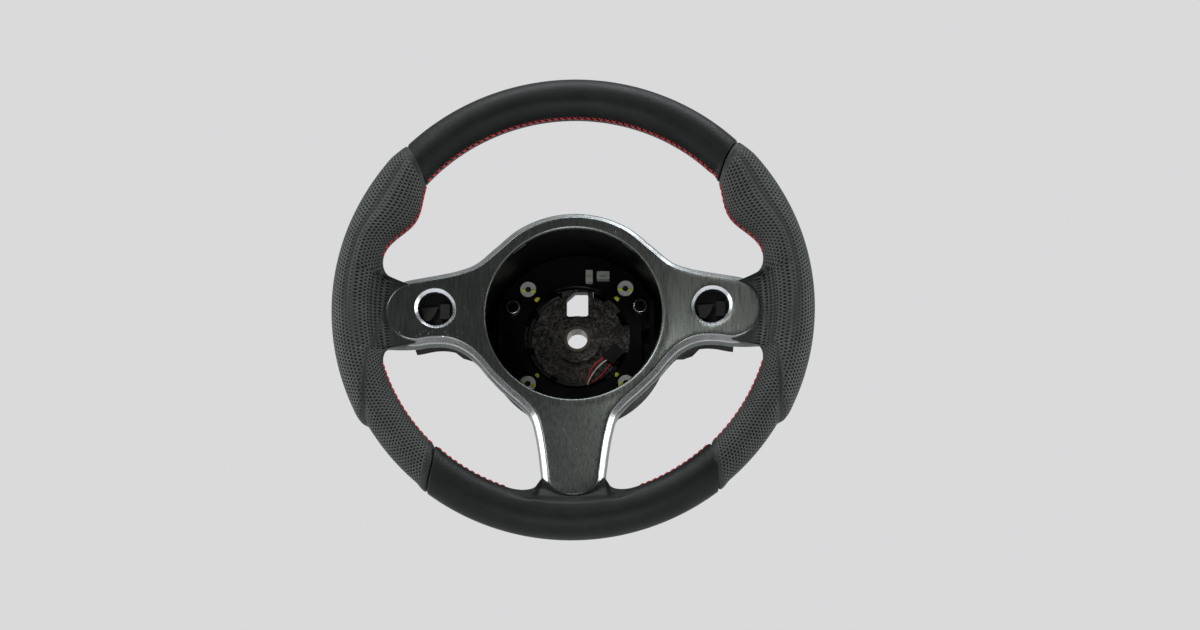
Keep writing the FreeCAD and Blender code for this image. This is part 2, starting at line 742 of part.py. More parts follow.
def make_horn_carrier():
    """Floating frame: ring plate, side walls, screw cups, spring posts and rails."""
    front = cell("carrier_front")
    thickness = cell("carrier_thickness")
    half = cell("carrier_half_width")
    disc = bound_cylinder("CarrierDisc", cell("carrier_radius"), thickness, front)
    strip = bound_box("CarrierStrip", f"2 * {half}", thickness, f"2 * {cell('carrier_radius')}",
                      f"-{half}", front, f"-{cell('carrier_radius')}")
    plate = doc.addObject("Part::Common", "CarrierPlate")
    plate.Base = disc
    plate.Tool = strip
    pieces = [plate]
    voids = [bound_cylinder("CarrierOpening", cell("carrier_opening_radius"), "40 mm", "30 mm")]
    for index, (x, z) in enumerate(corner_places()):
        pieces.append(bound_cylinder(f"Cup{index}", "9.2 mm", "3 mm", f"{front} + 3", x, z))
        voids.append(bound_cylinder(f"CupBore{index}", "7.6 mm", "3 mm", f"{front} + 3", x, z))
        voids.append(bound_cylinder(f"BushSeat{index}", cell("bush_radius"),
                                    f"{thickness} + 2", f"{front} + 1", x, z))
    wall = cell("carrier_wall")
    wall_front = cell("carrier_wall_front")
    for index, sign in enumerate((-1, 1)):
        x = f"{sign} * {cell('post_x')}"
        pieces.append(bound_cylinder(f"Post{index}", cell("post_radius"),
                                     f"{cell('post_front')} - {front}", cell("post_front"),
                                     x, cell("post_z")))
        wall_x = f"{half} - {wall}" if sign > 0 else f"-{half}"
        pieces.append(bound_box(f"SideWall{index}", wall, f"{wall_front} - {front}", "51 mm",
                                wall_x, wall_front, "-24 mm"))
        rail_x = "52.5 mm" if sign > 0 else "-54 mm"
        pieces.append(bound_box(f"Rail{index}", "1.5 mm", "3.5 mm", "58 mm", rail_x,
                                f"{front} + 3.5", "-46 mm"))
        voids.append(bound_cylinder(f"Recess{index}", cell("clip_recess_radius"), "14 mm", "13 mm",
                                    f"{sign} * {cell('clip_recess_x')}"))
        voids.append(bound_cylinder(f"PostBore{index}", "2 mm", "8 mm",
                                    f"{cell('post_front')} + 1", x, cell("post_z")))
    blank = united("CarrierBlank", pieces)
    return keep(less("HornCarrier", blank, united("CarrierVoids", voids)), "horn_carrier")


make_horn_carrier()


def coil(radius, wire, turns, start_y, end_y, x, z):
    """A round-wire compression spring along the column axis."""
    length = end_y - start_y - 2 * wire
    helix = Part.makeHelix(length / turns, length, radius)
    section = Part.Wire(Part.makeCircle(wire, Vector(radius, 0, 0), Vector(0, 1, 0)))
    spring = Part.Wire(helix.Edges).makePipeShell([section], True, True)
    spring.rotate(Vector(0, 0, 0), Vector(1, 0, 0), -90)
    spring.translate(Vector(x, start_y + wire, z))
    return spring


def horn_spring(x, z):
    return coil(5.2, 0.55, 3.0, dim("carrier_thickness") - dim("carrier_front") + 0.1,
                dim("plate_front") - 0.1, x, z)


shape_part("horn_springs", Part.makeCompound(at_screws(horn_spring)))

for side, sign in (("left", -1), ("right", 1)):
    spring = coil(dim("coil_radius"), dim("coil_wire"), 5.0, 1.5 - dim("post_front"),
                  -dim("carrier_front"), sign * dim("post_x"), dim("post_z"))
    shape_part(f"seat_spring_{side}", spring)

CONTACT_Z = -56.0
CONTACT_GAP = 0.1


def make_contacts():
    """Moving contact strip under the carrier and two fixed studs on the pocket floor."""
    back = dim("carrier_thickness") - dim("carrier_front")
    strip = box((-14.0, 14.0), (back, back + 0.6), (CONTACT_Z - 4.0, CONTACT_Z + 4.0))
    shape_part("contact_strip", strip)
    stud_front = back + 0.6 + dim("horn_travel") + CONTACT_GAP
    floor_front = dim("pocket_floor_front")
    studs = [cylinder(2.5, stud_front, floor_front, x, CONTACT_Z) for x in (-8.0, 8.0)]
    shape_part("contact_studs", Part.makeCompound(studs))


make_contacts()


def pale_plug(x, z, width, height):
    front = -dim("carrier_front")
    block = rounded_block((x - width / 2, x + width / 2), (front - 6.0, front),
                          (z - height / 2, z + height / 2), 0.6)
    slot = box((x - width / 4, x + width / 4), (front - 7.0, front - 4.0), (z - 1.0, z + 1.0))
    return block.cut(slot)


shape_part("terminal_upright", pale_plug(10.4, 51.0, 5.8, 10.5))
shape_part("terminal_flat", pale_plug(22.0, 51.5, 10.5, 7.0))

# ---------------------------------------------------------------- wiring in the hub

SLEEVE_ANGLES = (112.0, 281.0)
PLUG_CENTRE = (30.2, -14.2)
PLUG_SIZE = (14.0, 11.0, 9.0)
PLUG_TURN = 45.0


def on_circle(radius, degrees, y):
    x, z = polar(radius, degrees)
    return Vector(x, y, z)


def circle_arc(radius, start, end, y):
    middle = (start + end) / 2
    return Part.Arc(on_circle(radius, start, y), on_circle(radius, middle, y),
                    on_circle(radius, end, y)).toShape()


def sleeve_y():
    return dim("plate_front") - dim("sleeve_radius") - 0.1


def make_sleeve():
    route = dim("sleeve_route_radius")
    radius = dim("sleeve_radius")
    start, end = SLEEVE_ANGLES
    middle = (start + end) / 2
    arcs = [circle_arc(route, start, middle, sleeve_y()), circle_arc(route, middle, end, sleeve_y())]
    sleeve = pipe(arcs, radius)
    shape_part("wiring_sleeve", sleeve)
    clips = []
    for angle in (150.0, 196.0, 240.0):
        band = pipe([circle_arc(route, angle - 4.0, angle + 4.0, sleeve_y())], radius + SLEEVE_CLIP_WALL)
        band = band.cut(box((-60, 60), (dim("plate_front"), 12), (-60, 60)))
        clips.append(band.cut(sleeve))
    shape_part("sleeve_clips", Part.makeCompound(clips))


make_sleeve()


def plug_shape():
    """Cable plug with a stepped collar, lying turned on the armature plate."""
    length, width, depth = PLUG_SIZE
    back = dim("plate_front")
    block = rounded_block((-length / 2, length / 2), (back - depth, back),
                          (-width / 2, width / 2), 1.0)
    collar = rounded_block((-length / 2, -length / 2 + 3.0), (back - depth - 0.8, back),
                           (-width / 2 - 0.7, width / 2 + 0.7), 0.6)
    plug = block.fuse(collar)
    plug.rotate(Vector(0, 0, 0), Vector(0, -1, 0), PLUG_TURN)
    plug.translate(Vector(PLUG_CENTRE[0], 0, PLUG_CENTRE[1]))
    return plug


shape_part("wiring_plug", plug_shape())


WIRE_END_GAP = 0.5


def plug_entry(across, y):
    """A point just clear of the plug's rear face."""
    turn = math.radians(PLUG_TURN)
    along = -PLUG_SIZE[0] / 2 - WIRE_END_GAP
    return Vector(PLUG_CENTRE[0] + along * math.cos(turn) - across * math.sin(turn), y,
                  PLUG_CENTRE[1] + along * math.sin(turn) + across * math.cos(turn))


def make_wires():
    """Three leads from the sleeve's end to the plug, each one bowed arc."""
    end = on_circle(dim("sleeve_route_radius"), SLEEVE_ANGLES[1], sleeve_y())
    leads = [
        ("wire_red_upper", 0.0, (10.5, -28.5), (3.6, 0.0)),
        ("wire_red_lower", 1.4, (19.5, -31.5), (-3.6, 0.0)),
        ("wire_white", -1.4, (13.5, -29.5), (0.6, -1.5)),
    ]
    for label, depth, (mid_x, mid_z), (across, lift) in leads:
        start = Vector(end.x + 2 * WIRE_END_GAP, end.y + depth, end.z)
        finish = plug_entry(across, -0.5 + lift)
        middle = Vector(mid_x, (start.y + finish.y) / 2, mid_z)
        shape_part(label, pipe([Part.Arc(start, middle, finish).toShape()], dim("wire_radius")))


make_wires()

# ---------------------------------------------------------------- check and export

doc.recompute()
for thing in doc.Objects:
    bad = {"Invalid", "Error"} & set(thing.State)
    if bad:
        raise RuntimeError(f"{thing.Label} failed: {bad}")
os.makedirs("parts", exist_ok=True)
for thing in subparts:
    shape = thing.Shape
    if shape.isNull() or not shape.isValid() or shape.Volume <= 0:
        raise RuntimeError(f"{thing.Label} has no valid shape")
    shape.exportStep(f"parts/{thing.Label}.step")
    print(f"{thing.Label}: {shape.Volume / 1000:.2f} cm3, {len(shape.Solids)} solid(s)")
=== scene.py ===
import math

import bmesh
import bpy
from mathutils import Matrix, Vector
from mathutils.geometry import delaunay_2d_cdt


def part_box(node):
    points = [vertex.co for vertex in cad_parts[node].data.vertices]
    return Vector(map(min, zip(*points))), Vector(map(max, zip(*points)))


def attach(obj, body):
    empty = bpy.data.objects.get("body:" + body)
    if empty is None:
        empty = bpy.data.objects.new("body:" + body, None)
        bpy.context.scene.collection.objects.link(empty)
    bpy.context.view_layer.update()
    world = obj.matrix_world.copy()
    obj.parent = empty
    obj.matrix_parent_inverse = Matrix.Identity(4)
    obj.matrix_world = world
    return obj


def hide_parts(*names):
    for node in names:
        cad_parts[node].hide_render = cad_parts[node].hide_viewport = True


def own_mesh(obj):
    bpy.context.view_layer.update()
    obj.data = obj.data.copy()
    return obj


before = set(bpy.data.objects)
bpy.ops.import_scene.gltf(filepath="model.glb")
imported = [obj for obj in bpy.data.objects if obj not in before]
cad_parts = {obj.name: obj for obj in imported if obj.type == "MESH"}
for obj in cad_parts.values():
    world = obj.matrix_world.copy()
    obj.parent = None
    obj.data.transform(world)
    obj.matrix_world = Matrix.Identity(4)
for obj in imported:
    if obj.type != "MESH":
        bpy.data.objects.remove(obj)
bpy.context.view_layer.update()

# Every size below is in metres, in the frame of the part: the column axis is Y, the driver is on
# the -Y side and +Z is twelve o'clock.

MM = 0.001
WHEEL = "wheel"


def node_reach(node, axis, side):
    """One face of a node's box: axis 0, 1 or 2, side 0 low or 1 high."""
    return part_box(node)[side][axis]


RIM_OUTER = node_reach("leather_top", 2, 1)
RIM_BACK = node_reach("leather_top", 1, 1)
RIM_FRONT = node_reach("leather_top", 1, 0)
RIM_Y = (RIM_BACK + RIM_FRONT) / 2
RIM_HALF_DEPTH = (RIM_BACK - RIM_FRONT) / 2
RIM_INNER = RIM_OUTER - 33.5 * MM
SECTION_CENTRE = (RIM_OUTER + RIM_INNER) / 2

# ---------------------------------------------------------------- small helpers


def clamp(value, low=0.0, high=1.0):
    return max(low, min(high, value))


def smooth(value):
    """Smooth step from 0 to 1."""
    share = clamp(value)
    return share * share * (3 - 2 * share)


def mix(start, end, share):
    return start + (end - start) * share


def hermite(share, start, end, slope1, slope2):
    """A cubic between two values with given slopes at its ends."""
    left = 1 - share
    return (start * ((1 + 2 * share) * left * left) + slope1 * (share * left * left)
            + end * (share * share * (3 - 2 * share)) - slope2 * (share * share * left))


def polar(radius, degrees, centre=(0.0, 0.0)):
    angle = math.radians(degrees)
    return (centre[0] + radius * math.cos(angle), centre[1] + radius * math.sin(angle))


def add_object(name, data):
    piece = bpy.data.objects.new(name, data)
    bpy.context.collection.objects.link(piece)
    return piece


def make_object(name, vertices, faces, material=None, uvs=None, plain=None):
    """A smooth-shaded mesh object from lists. uvs and plain hold one entry per vertex."""
    mesh = bpy.data.meshes.new(name)
    mesh.from_pydata(vertices, [], faces)
    if uvs:
        layer = mesh.uv_layers.new(name="leather")
        for loop in mesh.loops:
            layer.data[loop.index].uv = uvs[loop.vertex_index]
    if plain:
        layer = mesh.attributes.new("plain", "FLOAT", "POINT")
        layer.data.foreach_set("value", plain)
    mesh.validate()
    mesh.shade_smooth()
    if material:
        mesh.materials.append(material)
    return add_object(name, mesh)


def grid_faces(rows, columns, closed=False):
    """Quads of a grid whose vertices run row by row."""
    faces = []
    for row in range(rows - 1):
        for column in range(columns if closed else columns - 1):
            after = (column + 1) % columns
            start = row * columns
            faces.append((start + column, start + after, start + columns + after,
                          start + columns + column))
    return faces


def round_tube(points, radius, sides, end_size, lean):
    """Vertices and faces of a closed tube along some points. lean sets where its sides start."""
    vertices = []
    last = len(points) - 1
    for index, point in enumerate(points):
        run = points[min(index + 1, last)] - points[max(index - 1, 0)]
        side = run.cross(lean(point)).normalized()
        up = side.cross(run).normalized()
        size = radius * (end_size if index in (0, last) else 1.0)
        for corner in range(sides):
            turn = 2 * math.pi * corner / sides
            vertices.append(point + (side * math.cos(turn) + up * math.sin(turn)) * size)
    faces = grid_faces(len(points), sides, closed=True)
    faces.append(tuple(range(sides)))
    faces.append(tuple(range(len(vertices) - 1, len(vertices) - 1 - sides, -1)))
    return vertices, faces


def add_part(vertices, faces, part):
    """Append one closed part to the lists of a whole piece."""
    base = len(vertices)
    vertices += part[0]
    faces += [tuple(corner + base for corner in face) for face in part[1]]


def fix_normals(piece):
    """Turn every face outwards."""
    work = bmesh.new()
    work.from_mesh(piece.data)
    bmesh.ops.recalc_face_normals(work, faces=work.faces)
    work.to_mesh(piece.data)
    work.free()


def wheel_piece(piece, slot, *nodes):
    """A piece that rides on the wheel and stands for some CAD nodes."""
    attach(piece, WHEEL)
    if nodes:
        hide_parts(*nodes)
    return piece


def mirrored(piece, name):
    """A copy on the other side of the wheel's middle plane."""
    copy = add_object(name, piece.data.copy())
    for vertex in copy.data.vertices:
        vertex.co.x = -vertex.co.x
    copy.data.flip_normals()
    return copy


# ---------------------------------------------------------------- materials


def add_node(tree, kind, **settings):
    """A new node. Settings are its properties, or its inputs with _ for a space."""
    node = tree.nodes.new(kind)
    for name, value in settings.items():
        if name in node.bl_rna.properties:
            setattr(node, name, value)
        else:
            node.inputs[name.replace("_", " ")].default_value = value
    return node


class Nodes:
    """Short calls for building one node material."""

    def __init__(self, name):
        self.material = bpy.data.materials.new(name)
        self.material.use_nodes = True
        self.tree = self.material.node_tree
        self.shader = self.tree.nodes["Principled BSDF"]

    def add(self, kind, **settings):
        return add_node(self.tree, kind, **settings)

    def link(self, output, target):
        self.tree.links.new(output, target)
        return target

    def put(self, value, target):
        """Link an output, or set a plain value."""
        if isinstance(value, bpy.types.NodeSocket):
            self.tree.links.new(value, target)
        else:
            target.default_value = value

    def math(self, operation, *values):
        node = self.add("ShaderNodeMath", operation=operation)
        for value, target in zip(values, node.inputs):
            self.put(value, target)
        return node.outputs[0]

    def place(self, scale=(1, 1, 1), source="Object"):
        """Object or UV coordinates, stretched."""
        coordinates = self.add("ShaderNodeTexCoord")
        mapping = self.add("ShaderNodeMapping")
        mapping.inputs["Scale"].default_value = scale
        self.link(coordinates.outputs[source], mapping.inputs["Vector"])
        return mapping.outputs[0]

    def noise(self, scale, detail=3.0, roughness=0.5, stretch=(1, 1, 1)):
        node = self.add("ShaderNodeTexNoise", Scale=scale, Detail=detail, Roughness=roughness)
        self.link(self.place(stretch), node.inputs["Vector"])
        return node.outputs[0]

    def cells(self, scale):
        node = self.add("ShaderNodeTexVoronoi", Scale=scale)
        self.link(self.place(), node.inputs["Vector"])
        return node.outputs["Distance"]

    def ramp(self, value, low, high, start=0.0, end=1.0):
        """Map a value from one range to another, clamped."""
        node = self.add("ShaderNodeMapRange")
        self.put(value, node.inputs["Value"])
        for name, number in (("From Min", low), ("From Max", high), ("To Min", start),
                             ("To Max", end)):
            node.inputs[name].default_value = number
        return node.outputs[0]

    def blend(self, share, first, second):
        """Mix two colours or colour outputs."""
        node = self.add("ShaderNodeMix", data_type="RGBA")
        self.put(share, node.inputs["Factor"])
        for colour, target in ((first, node.inputs["A"]), (second, node.inputs["B"])):
            if isinstance(colour, bpy.types.NodeSocket):
                self.link(colour, target)
            else:
                target.default_value = (*colour, 1.0)
        return node.outputs["Result"]

    def bump(self, height, strength, distance, under=None):
        node = self.add("ShaderNodeBump", Strength=strength, Distance=distance)
        self.put(height, node.inputs["Height"])
        if under:
            self.link(under, node.inputs["Normal"])
        return node.outputs[0]

    def finish(self, colour, roughness, normal=None, **constants):
        if isinstance(colour, bpy.types.NodeSocket):
            self.link(colour, self.shader.inputs["Base Color"])
        else:
            self.shader.inputs["Base Color"].default_value = (*colour, 1.0)
        self.put(roughness, self.shader.inputs["Roughness"])
        if normal:
            self.link(normal, self.shader.inputs["Normal"])
        for name, value in constants.items():
            self.shader.inputs[name.replace("_", " ")].default_value = value
        return self.material


def leather_colour(nodes, dark, light):
    """Leather's uneven dye and handling marks."""
    cloud = nodes.ramp(nodes.noise(38.0, 4.0, 0.6), 0.35, 0.65)
    return nodes.blend(cloud, dark, light)


def leather_grain(nodes, strength):
    """Pebbled grain with finer pores."""
    pebbles = nodes.ramp(nodes.cells(1150.0), 0.0, 0.75)
    creases = nodes.noise(2600.0, 2.0, 0.6)
    height = nodes.math("ADD", pebbles, nodes.math("MULTIPLY", creases, 0.5))
    return nodes.bump(height, strength, 0.0003)


def smooth_leather():
    nodes = Nodes("smooth_leather")
    colour = leather_colour(nodes, (0.0075, 0.0086, 0.0080), (0.0120, 0.0135, 0.0125))
    polish = nodes.ramp(nodes.noise(60.0, 3.0), 0.3, 0.7, 0.40, 0.50)
    return nodes.finish(colour, polish, leather_grain(nodes, 0.30), Specular_IOR_Level=0.22)


PERFORATION_PITCH = 2.95
PERFORATION_RADIUS = 0.30


def perforated_leather():
    """Leather with staggered round holes laid out in UV millimetres, none where it is plain."""
    nodes = Nodes("perforated_leather")
    pitch = PERFORATION_PITCH
    split = nodes.add("ShaderNodeSeparateXYZ")
    nodes.link(nodes.place((1 / pitch, 1 / (pitch * 0.86), 1), "UV"), split.inputs[0])
    row = nodes.math("FLOOR", split.outputs[1])
    odd = nodes.math("MULTIPLY", nodes.math("MODULO", nodes.math("ABSOLUTE", row), 2.0), 0.5)
    along = nodes.math("FRACT", nodes.math("ADD", split.outputs[0], odd))
    across = nodes.math("FRACT", split.outputs[1])
    off_x = nodes.math("SUBTRACT", along, 0.5)
    off_y = nodes.math("MULTIPLY", nodes.math("SUBTRACT", across, 0.5), 0.86)
    squares = nodes.math("ADD", nodes.math("MULTIPLY", off_x, off_x),
                         nodes.math("MULTIPLY", off_y, off_y))
    distance = nodes.math("SQRT", squares)
    plain = nodes.add("ShaderNodeAttribute", attribute_name="plain")
    covered = nodes.math("SUBTRACT", 1.0, plain.outputs["Fac"])
    hole = nodes.ramp(distance, PERFORATION_RADIUS + 0.03, PERFORATION_RADIUS - 0.03)
    hole = nodes.math("MULTIPLY", hole, covered)
    colour = leather_colour(nodes, (0.050, 0.057, 0.053), (0.066, 0.074, 0.069))
    colour = nodes.blend(plain.outputs["Fac"], colour, (0.024, 0.028, 0.025))
    colour = nodes.blend(hole, colour, (0.0015, 0.0015, 0.0015))
    pit = nodes.ramp(distance, PERFORATION_RADIUS - 0.08, PERFORATION_RADIUS + 0.14)
    pit = nodes.math("MULTIPLY", pit, covered)
    normal = nodes.bump(pit, 0.6, 0.0006, leather_grain(nodes, 0.3))
    polish = nodes.ramp(nodes.noise(60.0, 3.0), 0.3, 0.7, 0.46, 0.56)
    polish = nodes.math("MAXIMUM", polish, nodes.math("MULTIPLY", hole, 0.95))
    return nodes.finish(colour, polish, normal, Specular_IOR_Level=0.30)


def thread():
    nodes = Nodes("red_thread")
    twist = nodes.noise(1800.0, 2.0, 0.5)
    colour = nodes.blend(nodes.ramp(twist, 0.3, 0.7), (0.42, 0.005, 0.012), (0.78, 0.020, 0.032))
    return nodes.finish(colour, 0.6, nodes.bump(twist, 0.5, 0.0002), Sheen_Weight=0.3)


def gunmetal():
    """Fine-brushed dark metal with handling marks and a run of dents on one lower edge."""
    nodes = Nodes("gunmetal")
    brushed = nodes.noise(1100.0, 4.0, 0.65, (1.0, 1.0, 0.045))
    cloud = nodes.noise(14.0, 4.0, 0.6)
    speck = nodes.ramp(nodes.cells(240.0), 0.085, 0.05)
    rare = nodes.ramp(nodes.noise(31.0, 2.0, 0.5), 0.62, 0.70)
    nick = nodes.math("MULTIPLY", speck, rare)
    split = nodes.add("ShaderNodeSeparateXYZ")
    nodes.link(nodes.place(), split.inputs[0])
    left = nodes.ramp(split.outputs[0], -0.082, -0.090)
    right = nodes.ramp(split.outputs[0], -0.146, -0.138)
    edge = nodes.math("ABSOLUTE", nodes.math("ADD", split.outputs[2], 0.0185))
    band = nodes.ramp(edge, 0.0034, 0.0014)
    zone = nodes.math("MULTIPLY", nodes.math("MULTIPLY", left, right), band)
    dents = nodes.ramp(nodes.cells(430.0), 0.30, 0.20)
    dents = nodes.math("MULTIPLY", dents, nodes.ramp(nodes.noise(260.0, 2.0), 0.48, 0.56))
    mark = nodes.math("MAXIMUM", nick, nodes.math("MULTIPLY", dents, zone))
    line = nodes.noise(75.0, 1.0, 0.4, (4.0, 1.0, 0.5))
    scratch = nodes.ramp(nodes.math("ABSOLUTE", nodes.math("SUBTRACT", line, 0.66)), 0.006, 0.002)
    scratch = nodes.math("MULTIPLY", scratch, nodes.ramp(cloud, 0.60, 0.66))
    mark = nodes.math("MAXIMUM", mark, nodes.math("MULTIPLY", scratch, 0.5))
    colour = nodes.blend(nodes.ramp(cloud, 0.3, 0.7), (0.132, 0.146, 0.134), (0.170, 0.185, 0.170))
    colour = nodes.blend(nodes.math("MULTIPLY", nodes.ramp(brushed, 0.35, 0.65), 0.35), colour,
                         (0.25, 0.265, 0.25))
    colour = nodes.blend(mark, colour, (0.85, 0.88, 0.85))
    roughness = nodes.math("ADD", nodes.ramp(brushed, 0.3, 0.7, 0.20, 0.28),
                           nodes.math("MULTIPLY", cloud, 0.08))
    normal = nodes.bump(brushed, 0.05, 0.0001)
    normal = nodes.bump(nodes.math("MULTIPLY", mark, -1.0), 0.35, 0.0002, normal)
    return nodes.finish(colour, roughness, normal, Metallic=0.9)


def bright_edge():
    """Polished bevel of the switch holes."""
    nodes = Nodes("bright_edge")
    grain = nodes.noise(700.0, 3.0)
    colour = nodes.blend(nodes.ramp(grain, 0.3, 0.7), (0.76, 0.79, 0.83), (0.86, 0.88, 0.91))
    return nodes.finish(colour, nodes.ramp(grain, 0.3, 0.7, 0.24, 0.32),
                        nodes.bump(grain, 0.04, 0.0001), Metallic=1.0)


def bevel_painted_highlight():
    """A brighter copy of the bezel metal where the face rolls over into the skirt: a painted
    highlight, with a little uneven tone.
    """
    nodes = Nodes("bevel_painted_highlight")
    brushed = nodes.noise(900.0, 4.0, 0.65, (1.0, 1.0, 0.05))
    highlight_mottle = nodes.ramp(nodes.noise(60.0, 4.0, 0.6), 0.3, 0.7)
    colour = nodes.blend(highlight_mottle, (0.42, 0.44, 0.44), (0.58, 0.60, 0.61))
    return nodes.finish(colour, nodes.ramp(brushed, 0.3, 0.7, 0.26, 0.32),
                        nodes.bump(brushed, 0.015, 0.0001), Metallic=1.0)


def moulded_plastic(name, colour, roughness, grain=1400.0, gloss=0.22):
    """Fine spark-eroded texture with a little unevenness."""
    nodes = Nodes(name)
    texture = nodes.cells(grain)
    cloud = nodes.noise(55.0, 3.0)
    light = tuple(min(1.0, part * 1.35 + 0.001) for part in colour)
    mixed = nodes.blend(nodes.ramp(cloud, 0.35, 0.7), colour, light)
    shine = nodes.ramp(cloud, 0.3, 0.7, roughness - 0.06, roughness + 0.06)
    return nodes.finish(mixed, shine, nodes.bump(nodes.ramp(texture, 0.0, 0.6), 0.25, 0.0002),
                        Specular_IOR_Level=gloss)


def cast_metal():
    """Rough die casting: sandy, darkened and a little oily."""
    nodes = Nodes("cast_metal")
    sand = nodes.noise(420.0, 6.0, 0.75)
    pits = nodes.ramp(nodes.cells(520.0), 0.05, 0.35)
    stain = nodes.ramp(nodes.noise(48.0, 5.0, 0.7), 0.35, 0.65)
    colour = nodes.blend(nodes.ramp(sand, 0.42, 0.72), (0.014, 0.013, 0.012), (0.36, 0.345, 0.32))
    colour = nodes.blend(nodes.math("MULTIPLY", stain, 0.8), colour, (0.018, 0.017, 0.015))
    height = nodes.math("ADD", sand, nodes.math("MULTIPLY", pits, 0.6))
    return nodes.finish(colour, nodes.ramp(sand, 0.3, 0.7, 0.42, 0.62),
                        nodes.bump(height, 0.8, 0.0008), Metallic=0.75)


def turned_steel(name, colour, roughness, scale=600.0):
    nodes = Nodes(name)
    lines = nodes.noise(scale, 2.0, 0.5, (1.0, 0.15, 1.0))
    tarnish = nodes.ramp(nodes.noise(130.0, 4.0, 0.6), 0.45, 0.8)
    dark = tuple(part * 0.62 for part in colour)
    mixed = nodes.blend(nodes.math("MULTIPLY", tarnish, 0.6), colour, dark)
    return nodes.finish(mixed, nodes.ramp(lines, 0.3, 0.7, roughness - 0.07, roughness + 0.09),
                        nodes.bump(lines, 0.2, 0.0001), Metallic=1.0)


def zinc_steel():
    """Bright plated screw heads, with painted shade down in the sockets and along the shanks."""
    nodes = Nodes("zinc_steel")
    turned = nodes.noise(900.0, 2.0, 0.5, (1.0, 0.15, 1.0))
    split = nodes.add("ShaderNodeSeparateXYZ")
    nodes.link(nodes.place(), split.inputs[0])
    head_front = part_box("shoulder_screws")[0].y
    # Painted shade: colour turns near-black from just behind the heads' fronts.
    socket_shade = nodes.ramp(split.outputs[1], head_front + 0.3 * MM, head_front + 1.1 * MM)
    plating = nodes.blend(nodes.ramp(turned, 0.3, 0.7), (0.74, 0.79, 0.74), (0.88, 0.92, 0.86))
    colour = nodes.blend(socket_shade, plating, (0.03, 0.03, 0.028))
    return nodes.finish(colour, nodes.ramp(turned, 0.3, 0.7, 0.28, 0.42),
                        nodes.bump(turned, 0.1, 0.0001), Metallic=0.5)


def soft_sleeve(name, colour, roughness=0.45):
    nodes = Nodes(name)
    scuff = nodes.noise(300.0, 3.0)
    light = tuple(min(1.0, part * 1.4 + 0.004) for part in colour)
    mixed = nodes.blend(nodes.ramp(scuff, 0.4, 0.7), colour, light)
    return nodes.finish(mixed, nodes.ramp(scuff, 0.3, 0.7, roughness - 0.07, roughness + 0.07),
                        nodes.bump(scuff, 0.15, 0.0001))


def paint_mark():
    nodes = Nodes("paint_mark")
    flow = nodes.noise(500.0, 3.0)
    colour = nodes.blend(nodes.ramp(flow, 0.35, 0.65), (0.56, 0.62, 0.02), (0.82, 0.86, 0.08))
    return nodes.finish(colour, nodes.ramp(flow, 0.3, 0.7, 0.35, 0.5),
                        nodes.bump(flow, 0.3, 0.0002))


SMOOTH_LEATHER = smooth_leather()
PERFORATED_LEATHER = perforated_leather()
THREAD = thread()
GUNMETAL = gunmetal()
BRIGHT_EDGE = bright_edge()
# Brighter copy of the gunmetal for the rounded edge: painted highlight.
BEVEL_PAINTED_HIGHLIGHT = bevel_painted_highlight()
# Near-black: black plastic, darkened further as painted shade for the hub pocket recess.
BLACK_PLASTIC_AND_SHADE = moulded_plastic("black_plastic", (0.0014, 0.0014, 0.0016), 0.36, gloss=0.12)
COVER_PLASTIC = moulded_plastic("cover_plastic", (0.003, 0.003, 0.0032), 0.60, gloss=0.08)

CAST_METAL = cast_metal()
SEAT_SPRING_WIRE = turned_steel("seat_spring_wire", (0.62, 0.64, 0.64), 0.24)
SOCKET_PLASTIC = moulded_plastic("socket_plastic", (0.007, 0.007, 0.0075), 0.5)

NODE_FINISHES = {
    "armature": CAST_METAL,
    "rim_ring": CAST_METAL,
    "spline_insert": turned_steel("machined_steel", (0.20, 0.17, 0.14), 0.38),
    "rear_cover": COVER_PLASTIC,
    "hub_pocket": BLACK_PLASTIC_AND_SHADE,
    # The carrier's own black, darkened further as painted shade inside the hub.
    "horn_carrier": moulded_plastic("carrier_plastic_and_shade", (0.0018, 0.0018, 0.0020), 0.34, gloss=0.15),
    "cover_screws": turned_steel("dark_steel", (0.14, 0.14, 0.145), 0.35),
    "bezel_clips": turned_steel("clip_steel", (0.85, 0.86, 0.88), 0.34),
    "shoulder_screws": zinc_steel(),
    "guide_bushes": moulded_plastic("bush_plastic", (0.42, 0.40, 0.35), 0.45),
    "horn_springs": turned_steel("horn_spring_wire", (0.48, 0.48, 0.47), 0.3),
    "seat_spring_left": SEAT_SPRING_WIRE,
    "seat_spring_right": SEAT_SPRING_WIRE,
    "contact_strip": turned_steel("contact_brass", (0.70, 0.52, 0.24), 0.3),
    "contact_studs": turned_steel("stud_brass", (0.70, 0.52, 0.24), 0.3),
    "terminal_upright": moulded_plastic("pale_terminal", (0.34, 0.36, 0.32), 0.5),
    "terminal_flat": moulded_plastic("pale_terminal_b", (0.31, 0.33, 0.30), 0.5),
    "wiring_sleeve": soft_sleeve("sleeve_black", (0.010, 0.010, 0.011), 0.4),
    "sleeve_clips": BLACK_PLASTIC_AND_SHADE,
    "wiring_plug": moulded_plastic("plug_plastic", (0.007, 0.007, 0.0075), 0.4),
    "wire_red_upper": soft_sleeve("wire_red", (0.50, 0.008, 0.012)),
    "wire_red_lower": soft_sleeve("wire_red_b", (0.46, 0.008, 0.012)),
    "wire_white": soft_sleeve("wire_white", (0.66, 0.63, 0.55)),
    "switch_socket_left": SOCKET_PLASTIC,
    "switch_socket_right": SOCKET_PLASTIC,
    "switch_connector_left": moulded_plastic("grey_connector", (0.022, 0.022, 0.021), 0.5),
    "switch_connector_right": moulded_plastic("grey_connector_b", (0.018, 0.018, 0.017), 0.5),
}


